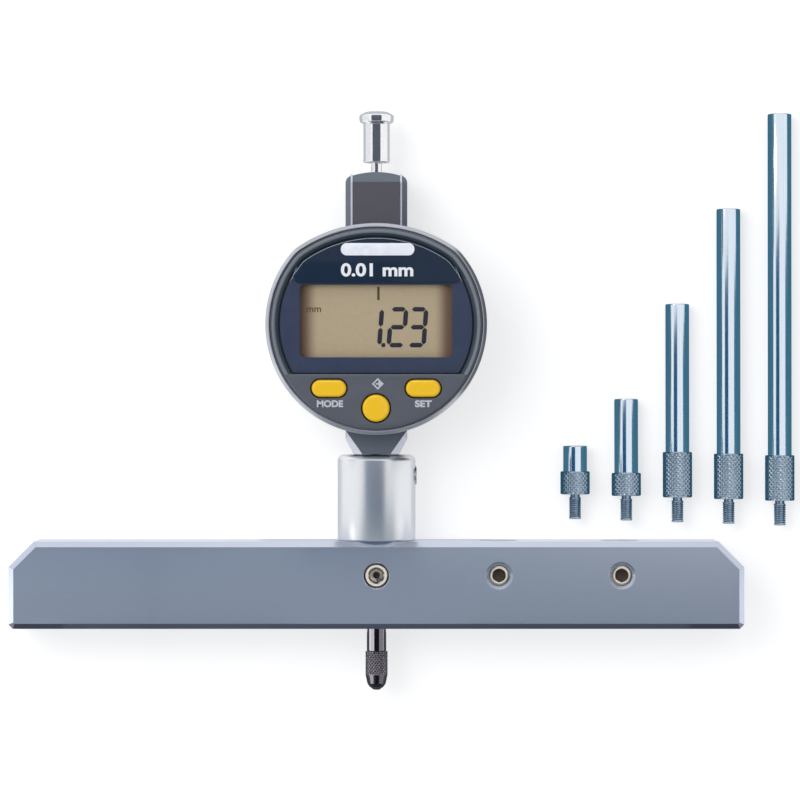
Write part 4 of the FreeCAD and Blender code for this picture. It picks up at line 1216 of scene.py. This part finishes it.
def make_keys():
    """The yellow keys with rounded crowns, their two captions and the output sign."""
    for node, x, y, width, height, top in key_places():
        outline = stadium_outline(x, y, width, height)
        half = height / 2
        line = [
            (half, KEY_FOOT_Z),
            (0, KEY_FOOT_Z),
            (0, top - 0.08),
            (half * 0.5, top),
            (half, top),
        ]
        profile = rounded(line, [0.05, 0.6, 0.4], steps=8)
        name = node + "_cap"
        body = node + "_body"
        grid_piece(name, swept(outline, profile), key_yellow(), body, (node,))
    top = corners("front_bezel")[1][2] + INK_HEIGHT
    ink = grey_ink()
    for name, word, width, x in (
        ("caption_mode", "MODE", 5.3, -9.3),
        ("caption_set", "SET", 3.4, 9.53),
    ):
        words(name, word, width, 1.42, x, 45.9, top, INK_HEIGHT, ink, 0.09)
    make_output_sign(top)


def make_output_sign(z):
    """A data output sign: a diamond outline with an arrow that leaves it to the right."""
    x, y, reach, bar = 0.35, 49.9, 1.2, 0.27
    outer = np.array([(x - reach, y), (x, y - reach), (x + reach, y), (x, y + reach)])
    inner = np.array([x, y]) + (outer - [x, y]) * (1 - 1.5 * bar / reach)
    arrow = np.array(
        [
            (x - 0.45, y - 0.14),
            (x + 0.1, y - 0.14),
            (x + 0.1, y - 0.62),
            (x + 0.85, y),
            (x + 0.1, y + 0.62),
            (x + 0.1, y + 0.14),
            (x - 0.45, y + 0.14),
        ]
    )
    ink = grey_ink()
    front = z + INK_HEIGHT
    flat_piece("output_sign", [outer, inner], z, front, 0.005, ink, GAUGE)
    flat_piece("output_arrow", [arrow], z, front + 0.005, 0.005, ink, GAUGE)


def make_spindle():
    """The spindle, its thin upper end, the knurled contact point and the lifting cap."""
    low, high = corners("spindle")
    shoulder = 76.0
    line = [
        (0, low[1] + 5.5),
        (1.25, low[1] + 5.5),
        (1.25, low[1]),
        (2.0, low[1]),
        (2.0, shoulder),
        (0, shoulder),
    ]
    profile = rounded(line, [0, 0.05, 0.15, 0.2], steps=4)
    points, place = turned(profile, 96)
    grid_piece(
        "spindle_ground", points, spindle_steel(), SPINDLE, ("spindle",), uv=place
    )
    line = [(0, shoulder - 0.1), (1.1, shoulder - 0.1), (1.1, high[1]), (0, high[1])]
    points, place = turned(rounded(line, [0.05, 0.1], steps=4), 64)
    grid_piece("spindle_upper_rod", points, polished_chrome(), SPINDLE, uv=place)
    make_contact()
    make_cap()


def make_contact():
    """The contact point: stud, knurled collar, smooth taper and ball end."""
    low, high = corners("contact_point")
    collar_top = corners("spindle")[0][1]
    knurl_foot = collar_top - 4.75
    radius = high[0]
    line = [
        (0, low[1]),
        (0.62, low[1]),
        (1.5, low[1] + 0.68),
        (1.9, low[1] + 1.3),
        (2.08, low[1] + 2.2),
        (radius, knurl_foot),
        (radius, collar_top),
        (1.22, collar_top),
        (1.22, high[1]),
        (0, high[1]),
    ]
    profile = rounded(line, [0.5, 0.45, 0.35, 0.45, 0.5, 0.2, 0, 0.1], steps=7)
    profile = dense(profile, knurl_foot - 0.2, collar_top - 0.1, 0.06)
    knurl = diamond_knurl(20, 0.8, 0.17, knurl_foot - 0.1, collar_top - 0.1)
    points, place = turned(profile, 320, knurl)
    grid_piece(
        "contact_point_knurled", points, contact_steel(), SPINDLE,
        ("contact_point",), uv=place,
    )


def make_cap():
    """The lifting cap: a barrel under a rounded flange with a low dome."""
    low, high = corners("lifting_cap")
    foot, top = low[1], high[1]
    barrel = 2.72
    flange = high[0]
    line = [
        (0, foot + 5.6),
        (1.12, foot + 5.6),
        (1.12, foot),
        (barrel, foot),
        (barrel, foot + 7.95),
        (flange - 0.1, foot + 8.35),
        (flange, foot + 9.0),
        (flange, foot + 9.75),
        (flange * 0.62, top),
        (0, top),
    ]
    profile = rounded(line, [0, 0.1, 0.2, 0.1, 0.25, 0.6, 0.5, 1.2], steps=7)
    points, place = turned(profile, 160)
    grid_piece(
        "lifting_cap_polished", points, polished_chrome(), SPINDLE, ("lifting_cap",),
        uv=place,
    )


def make_rods():
    """The loose extension rods, each with a threaded stud, a knurled collar and a polished body.

    A rod is turned about Y from its collar's foot, tilted about X by the angle that rests the
    collar and the plain end on the table, and moved to its place beside the bar.
    """
    settings = bpy.context.scene.depth_gauge_sizes
    pitch = settings.thread_pitch / MM
    depth = settings.knurl_depth / MM
    stud, radius, body = 5.15, 3.05, 2.45  # the stud's length, the collar's and the body's radius
    bore, bore_depth = 1.25, 5.5
    gap, nearer = 4.2, 0.33  # from the bar to the first stud, and how much nearer each next one is
    for index, length in enumerate(ROD_LENGTHS):
        node = f"extension_rod_{length}"
        low, high = corners(node)
        collar = 9.4 if length >= 40 else 4.75
        line = [
            (0, -stud),
            (1.25, -stud),
            (1.25, -0.7),
            (0.98, -0.6),
            (0.98, 0),
            (radius, 0),
            (radius, collar),
            (body, collar),
            (body, length),
            (bore + 0.05, length),
            (bore, length - bore_depth),
            (0, length - bore_depth),
        ]
        profile = rounded(line, [0.25, 0, 0, 0, 0.3, 0.3, 0, 0.2, 0.1, 0], steps=4)
        reach, along = profile.T
        stud_rows = along < -0.001
        collar_rows = (along > 0.001) & (along < collar - 0.001) & (reach > 2.6)
        first = dense(profile[stud_rows], -stud + 0.2, -0.7, pitch / 8)
        middle = dense(profile[collar_rows], 0.35, collar - 0.35, 0.08)
        place = np.flatnonzero(stud_rows)[-1] + 1
        start = np.flatnonzero(collar_rows)[0]
        end = np.flatnonzero(collar_rows)[-1] + 1
        profile = np.concatenate([first, profile[place:start], middle, profile[end:]])
        knurl = diamond_knurl(20, 0.95, depth, 0.15, collar - 0.15)
        thread = screw_thread(pitch, 0.2, -stud + 0.1, -0.6)

        def relief(angle, along):
            cut = np.where(along < -0.001, thread(angle, along), 0)
            outer = np.where((along > 0.1) & (along < collar - 0.1), 1.0, 0.0)
            return cut + knurl(angle, along) * outer

        reach, along = profile.T
        shoulder = np.flatnonzero((reach < body + 0.26) & (along > collar - 0.001))[0]
        knurled = np.concatenate([profile[:shoulder], [(body - 0.1, collar), (0, collar)]])
        plain = np.concatenate([[(0, collar - 0.6), (body, collar - 0.6)], profile[shoulder + 1 :]])
        tilt = 0.0 if length < 20 else math.atan2(radius - body, length - collar)
        tip_y = BAR_TOP_Y + gap - index * nearer
        middle_x = (low[0] + high[0]) / 2
        place = [middle_x, tip_y + stud + collar, TABLE_Z + radius * math.cos(tilt)]
        for name, line, columns, cut, steel, stands_for in (
            (f"rod_{length}_knurled", knurled, 200, relief, knurl_steel(), (node,)),
            (f"rod_{length}_polished", plain, 128, None, rod_steel(), ()),
        ):
            points, surface = turned(line, columns, cut)
            y, z = points[..., 1] - collar, points[..., 2].copy()
            points[..., 1] = y * math.cos(tilt) + z * math.sin(tilt)
            points[..., 2] = z * math.cos(tilt) - y * math.sin(tilt)
            body_name = f"rod_{length}_body"
            grid_piece(name, points + place, steel, body_name, stands_for, surface)


def make_inside():
    """Finishes for the nodes inside the case and the head, which are kept as the CAD has them."""
    for name, ((dark, light, rough, metallic), nodes) in INSIDE.items():
        material = finish(name, dark, light, specks(0.4), rough, Metallic=metallic)
        for node in nodes:
            paint_node(node, material)
    for node in ("spindle_wiper", "stop_buffer"):
        paint_node(node, rubber())
    paint_node("head_screws", zinc_steel())


# Stage


def stage_plane(name, spots, material):
    """A flat four-cornered sheet that is part of the stage."""
    mesh = bpy.data.meshes.new(name)
    mesh.from_pydata([tuple(part * MM for part in spot) for spot in spots], [], [(0, 1, 2, 3)])
    mesh.materials.append(material)
    plane = bpy.data.objects.new(name, mesh)
    bpy.context.scene.collection.objects.link(plane)
    return plane


def level(low, high, z):
    """The corners of a level rectangle."""
    return [(low[0], low[1], z), (high[0], low[1], z), (high[0], high[1], z), (low[0], high[1], z)]


def upright(start, end, low, high):
    """The corners of a standing rectangle over a line on the floor plan."""
    return [(*start, low), (*end, low), (*end, high), (*start, high)]


def card(name, spots, colour, strength=1.0, one_sided=False, far=None):
    """A studio card that only polished surfaces see, if wanted from its front alone.

    With a far colour, it turns from the first colour to that one along X.
    """
    material = bpy.data.materials.new(name)
    tree = empty_tree(material)
    glow = add_node(tree, "Emission", {"Color": (*linear(colour), 1), "Strength": strength})
    face = glow.outputs[0]
    if far:
        other = add_node(tree, "Emission", {"Color": (*linear(far), 1), "Strength": strength})
        source = add_node(tree, "TexCoord")
        along = add_node(tree, "SeparateXYZ", {0: source.outputs["Generated"]})
        faded = add_node(tree, "MixShader", {0: along.outputs[0], 1: face, 2: other.outputs[0]})
        face = faded.outputs[0]
    if one_sided:
        side = add_node(tree, "NewGeometry")
        clear = add_node(tree, "BsdfTransparent")
        mixed = add_node(
            tree, "MixShader", {0: side.outputs["Backfacing"], 1: face, 2: clear.outputs[0]}
        )
        face = mixed.outputs[0]
    add_node(tree, "OutputMaterial", {0: face})
    plane = stage_plane(name, spots, material)
    for ray in ("camera", "diffuse", "shadow", "transmission", "volume_scatter"):
        setattr(plane, "visible_" + ray, False)


def seen_plainly(tree):
    """1 for the rays that show the background: the camera's, mirrored and passed ones; else 0."""
    path = add_node(tree, "LightPath")
    both = add_node(
        tree, "Math", {0: path.outputs["Is Camera Ray"], 1: path.outputs["Is Glossy Ray"]},
        operation="ADD",
    )
    total = add_node(
        tree, "Math", {0: both.outputs[0], 1: path.outputs["Is Transmission Ray"]},
        operation="ADD", use_clamp=True,
    )
    return total.outputs[0]


def make_floor():
    """A pale matt floor that is seen as white where no shadow falls."""
    material = bpy.data.materials.new("pale studio floor")
    tree = empty_tree(material)
    matt = add_node(tree, "BsdfDiffuse", {"Color": (0.5, 0.5, 0.5, 1)})
    lift = add_node(tree, "Math", {0: seen_plainly(tree), 1: 0.6}, operation="MULTIPLY")
    glow = add_node(tree, "Emission", {"Strength": lift.outputs[0]})
    both = add_node(tree, "AddShader", {0: matt.outputs[0], 1: glow.outputs[0]})
    add_node(tree, "OutputMaterial", {0: both.outputs[0]})
    stage_plane("studio_floor", level((-3000, -3000), (3000, 3000), TABLE_Z - 0.02), material)


def make_world():
    """Even pale light all round; the camera, metal and glass see it as plain white."""
    world = bpy.data.worlds.new("studio")
    tree = empty_tree(world)
    seen = add_node(tree, "Background", {"Color": (1, 1, 1, 1), "Strength": 1.0})
    light = add_node(tree, "Background", {"Color": (*linear("f4f6fa"), 1), "Strength": 0.74})
    both = add_node(
        tree, "MixShader", {0: seen_plainly(tree), 1: light.outputs[0], 2: seen.outputs[0]}
    )
    add_node(tree, "OutputWorld", {0: both.outputs[0]})
    bpy.context.scene.world = world


def make_lamp(name, place, size, power):
    """A square soft lamp aimed at the middle of the gauge."""
    lamp = bpy.data.lights.new(name, "AREA")
    lamp.shape = "SQUARE"
    lamp.size = size * MM
    lamp.energy = power
    holder = bpy.data.objects.new(name, lamp)
    bpy.context.scene.collection.objects.link(holder)
    where = np.array(place) * MM
    aim = np.array([0, 50, 0]) * MM - where
    holder.location = where
    holder.rotation_euler = Vector(aim).to_track_quat("-Z", "Y").to_euler()
    holder.visible_glossy = False


def make_camera():
    """A camera straight above the gauge, level with the photograph's middle."""
    camera = bpy.data.cameras.new("camera")
    camera.sensor_width = 36.0
    camera.lens = CAMERA_LENS
    holder = bpy.data.objects.new("camera", camera)
    bpy.context.scene.collection.objects.link(holder)
    holder.location = np.array(CAMERA_PLACE) * MM
    bpy.context.scene.camera = holder


def make_cards():
    """The studio cards that give each group of metal pieces its bands of light and dark.

    Those for the rods stand far off, so that all five rods show the same bands. The one-sided
    ones show their colour to the pieces in front of them and are clear from behind.
    """
    # over, beside and before the bar
    card("bar_card", level((-104, -60), (140, 17), 102), "b4bfc6", far="7b858c")
    card("bar_left", upright((-140, -40), (-140, 12), TABLE_Z, 60), "ffffff", 2.1)
    card("bar_right", upright((130, -40), (130, 12), TABLE_Z, 60), "ffffff", 1.25)
    card("bar_top", upright((30, 20.4), (98, 20.4), TABLE_Z, 14), "ffffff")
    card("bar_top_left", upright((-31, 20.4), (-8.4, 20.4), TABLE_Z, 14), "ffffff", one_sided=True)
    card("bar_top_right", upright((8.4, 20.4), (30, 20.4), TABLE_Z, 14), "ffffff", one_sided=True)
    card("bar_lip_left", upright((-17, -2.9), (-90, -2.9), 20, 101), "939ea6", one_sided=True)
    card("bar_lip_right", upright((90, -2.9), (19, -2.9), 20, 101), "939ea6", one_sided=True)
    for x in SPARE_BORES:
        mouth = upright((x + 4, 17), (x - 4, 17), -4, 4)
        card(f"bore_mouth_{x}", mouth, "fff6e2", one_sided=True)
    # round the sleeve, the cap and the head
    card("sleeve_card", level((-11, 17), (12, 40), 30), "757e8e")
    card("sleeve_left", upright((-29, 18.2), (-29, 38), TABLE_Z, 24), "ffffff")
    card("sleeve_floor", level((-24, 18), (24, 38), TABLE_Z), "d6d7dc")
    card("cap_card", level((-19, 90), (20, 130), 30), "5a5f69")
    card("cap_left", upright((-29, 92), (-29, 115), TABLE_Z, 24), "eff0f4")
    card("cap_floor", level((-29, 93), (29, 130), TABLE_Z), "c6c8cd")
    card("gauge_right", upright((29, 115), (29, 92), TABLE_Z, 24), "ffffff", one_sided=True)
    card("head_right", upright((29, 92), (29, 38), TABLE_Z, 32), "5c5e66", one_sided=True)
    card("sleeve_right", upright((29, 38), (29, 20), TABLE_Z, 24), "ffffff", one_sided=True)
    card("head_foot", upright((24, 36.5), (-24, 36.5), 16, 28), "1c1e26", one_sided=True)
    card("key_light", upright((-22, 122), (22, 122), 48, 84), "fffaf0", 5.6, one_sided=True)
    # in front of the bar's foot and round the contact point
    card("front_flag", upright((-260, -70), (260, -70), -8, 130), "3a3d46")
    card("front_floor_flag", level((-120, -70), (120, -2), TABLE_Z), "62646c")
    card("contact_card", level((-16, -45), (18, -1.4), 30), "1e1e26")
    card("contact_back", upright((19, -1.2), (-17, -1.2), 9.5, 30.5), "939ea6", one_sided=True)
    card("bevel_back", upright((19, -1.2), (-17, -1.2), 6.4, 9.5), "575963", one_sided=True)
    card("bevel_left", upright((-17, -1.2), (-64, -1.2), 5, 16), "575963", one_sided=True)
    card("bevel_right", upright((64, -1.2), (19, -1.2), 5, 16), "575963", one_sided=True)
    card("contact_left", upright((-46, -45), (-46, -3.2), 10, 110), "ffffff", 1.3)
    card("contact_right", upright((34, -45), (34, -3), 2, 92), "b0aeb8")
    # round the rods
    card("rods_card", level((-280, -30), (30, 165), 400), "25587c")
    card("rods_left", upright((-420, 5.5), (-420, 165), -8, 190), "47768a")
    card("rods_right", upright((545, 5.5), (545, 165), -8, 370), "47768a")
    card("rods_floor", level((32, 21), (96, 118), TABLE_Z), "3f6c82")
    card("rods_near", upright((28, 22), (28, 115), TABLE_Z, 1.5), "47768a", one_sided=True)
    for index in range(len(ROD_LENGTHS) + 1):
        x = 35.75 + ROD_PITCH * index
        card(f"rod_flag_{index}", upright((x, 21.5), (x, 118), TABLE_Z, -2.4), "47768a")


def make_stage():
    """Floor, world, lamp, studio cards and camera."""
    make_floor()
    make_world()
    make_lamp("soft_key_lamp", (-350, 250, 600), 500, 2.6)
    make_cards()
    make_camera()
    bpy.context.scene.view_settings.view_transform = "Standard"


# Add-on


class DepthGaugeSizes(bpy.types.PropertyGroup):
    """Sizes and colours of what the scene adds to the CAD solids."""

    thread_pitch: FloatProperty(
        name="Thread pitch",
        description="Rise of the stud threads for each turn",
        default=0.45 * MM,
        unit="LENGTH",
    )
    knurl_depth: FloatProperty(
        name="Knurl depth",
        description="Depth of the grooves between the rods' knurl diamonds",
        default=0.15 * MM,
        unit="LENGTH",
    )
    bar_colour: FloatVectorProperty(
        name="Bar colour",
        description="Colour of the ground steel of the base bar",
        default=linear("c4cbdb"),
        subtype="COLOR",
    )
    panel_colour: FloatVectorProperty(
        name="Panel colour",
        description="Colour of the moulded panel round the keys",
        default=linear("4d525c"),
        subtype="COLOR",
    )
    key_colour: FloatVectorProperty(
        name="Key colour",
        description="Colour of the three keys",
        default=linear("eaba10"),
        subtype="COLOR",
    )


class DepthGaugeStep:
    """What the steps share: a function that makes the pieces."""

    bl_options = {"REGISTER"}
    make = None

    def execute(self, context):
        type(self).make()
        return {"FINISHED"}


class DEPTHGAUGE_OT_bar(DepthGaugeStep, bpy.types.Operator):
    """Make the ground base bar"""

    bl_idname = "depth_gauge.bar"
    bl_label = "Base bar"
    make = staticmethod(make_bar)


class DEPTHGAUGE_OT_screws(DepthGaugeStep, bpy.types.Operator):
    """Make the socket screws of the bar, the sleeve and the back cover"""

    bl_idname = "depth_gauge.screws"
    bl_label = "Screws"
    make = staticmethod(make_screws)


class DEPTHGAUGE_OT_sleeve(DepthGaugeStep, bpy.types.Operator):
    """Make the satin chrome sleeve"""

    bl_idname = "depth_gauge.sleeve"
    bl_label = "Sleeve"
    make = staticmethod(make_sleeve)


class DEPTHGAUGE_OT_case(DepthGaugeStep, bpy.types.Operator):
    """Make the case, its back and its neck plates"""

    bl_idname = "depth_gauge.case"
    bl_label = "Case"
    make = staticmethod(make_case)


class DEPTHGAUGE_OT_head(DepthGaugeStep, bpy.types.Operator):
    """Make the head's shell, rim, recess wall and key panel"""

    bl_idname = "depth_gauge.head"
    bl_label = "Head"
    make = staticmethod(make_head)


class DEPTHGAUGE_OT_display(DepthGaugeStep, bpy.types.Operator):
    """Make the display with its panels and reading"""

    bl_idname = "depth_gauge.display"
    bl_label = "Display"
    make = staticmethod(make_display)


class DEPTHGAUGE_OT_keys(DepthGaugeStep, bpy.types.Operator):
    """Make the keys and their captions"""

    bl_idname = "depth_gauge.keys"
    bl_label = "Keys"
    make = staticmethod(make_keys)


class DEPTHGAUGE_OT_spindle(DepthGaugeStep, bpy.types.Operator):
    """Make the spindle, the contact point and the lifting cap"""

    bl_idname = "depth_gauge.spindle"
    bl_label = "Spindle"
    make = staticmethod(make_spindle)


class DEPTHGAUGE_OT_rods(DepthGaugeStep, bpy.types.Operator):
    """Make the knurled and threaded extension rods"""

    bl_idname = "depth_gauge.rods"
    bl_label = "Extension rods"
    make = staticmethod(make_rods)


class DEPTHGAUGE_OT_inside(DepthGaugeStep, bpy.types.Operator):
    """Give the hidden pieces their finishes"""

    bl_idname = "depth_gauge.inside"
    bl_label = "Inside"
    make = staticmethod(make_inside)


class DEPTHGAUGE_OT_stage(DepthGaugeStep, bpy.types.Operator):
    """Make the floor, the lights and the camera"""

    bl_idname = "depth_gauge.stage"
    bl_label = "Stage"
    make = staticmethod(make_stage)


STEPS = (
    DEPTHGAUGE_OT_bar,
    DEPTHGAUGE_OT_screws,
    DEPTHGAUGE_OT_sleeve,
    DEPTHGAUGE_OT_case,
    DEPTHGAUGE_OT_head,
    DEPTHGAUGE_OT_display,
    DEPTHGAUGE_OT_keys,
    DEPTHGAUGE_OT_spindle,
    DEPTHGAUGE_OT_rods,
    DEPTHGAUGE_OT_inside,
    DEPTHGAUGE_OT_stage,
)


class DEPTHGAUGE_PT_panel(bpy.types.Panel):
    """The steps and sizes, in the 3D view's sidebar"""

    bl_idname = "DEPTHGAUGE_PT_panel"
    bl_label = "Depth gauge"
    bl_space_type = "VIEW_3D"
    bl_region_type = "UI"
    bl_category = "Depth gauge"

    def draw(self, context):
        sizes = context.scene.depth_gauge_sizes
        for name in ("thread_pitch", "knurl_depth", "bar_colour", "panel_colour", "key_colour"):
            self.layout.prop(sizes, name)
        for step in STEPS:
            self.layout.operator(step.bl_idname)


CLASSES = (DepthGaugeSizes, *STEPS, DEPTHGAUGE_PT_panel)


def register():
    """Registers the classes and hangs the sizes on the scene."""
    for kind in CLASSES:
        bpy.utils.register_class(kind)
    bpy.types.Scene.depth_gauge_sizes = PointerProperty(type=DepthGaugeSizes)


def unregister():
    """Undoes register."""
    del bpy.types.Scene.depth_gauge_sizes
    for kind in reversed(CLASSES):
        bpy.utils.unregister_class(kind)


def main():
    """Runs the steps in order."""
    register()
    for step in STEPS:
        group, name = step.bl_idname.split(".")
        getattr(getattr(bpy.ops, group), name)()


if __name__ == "__main__":
    main()
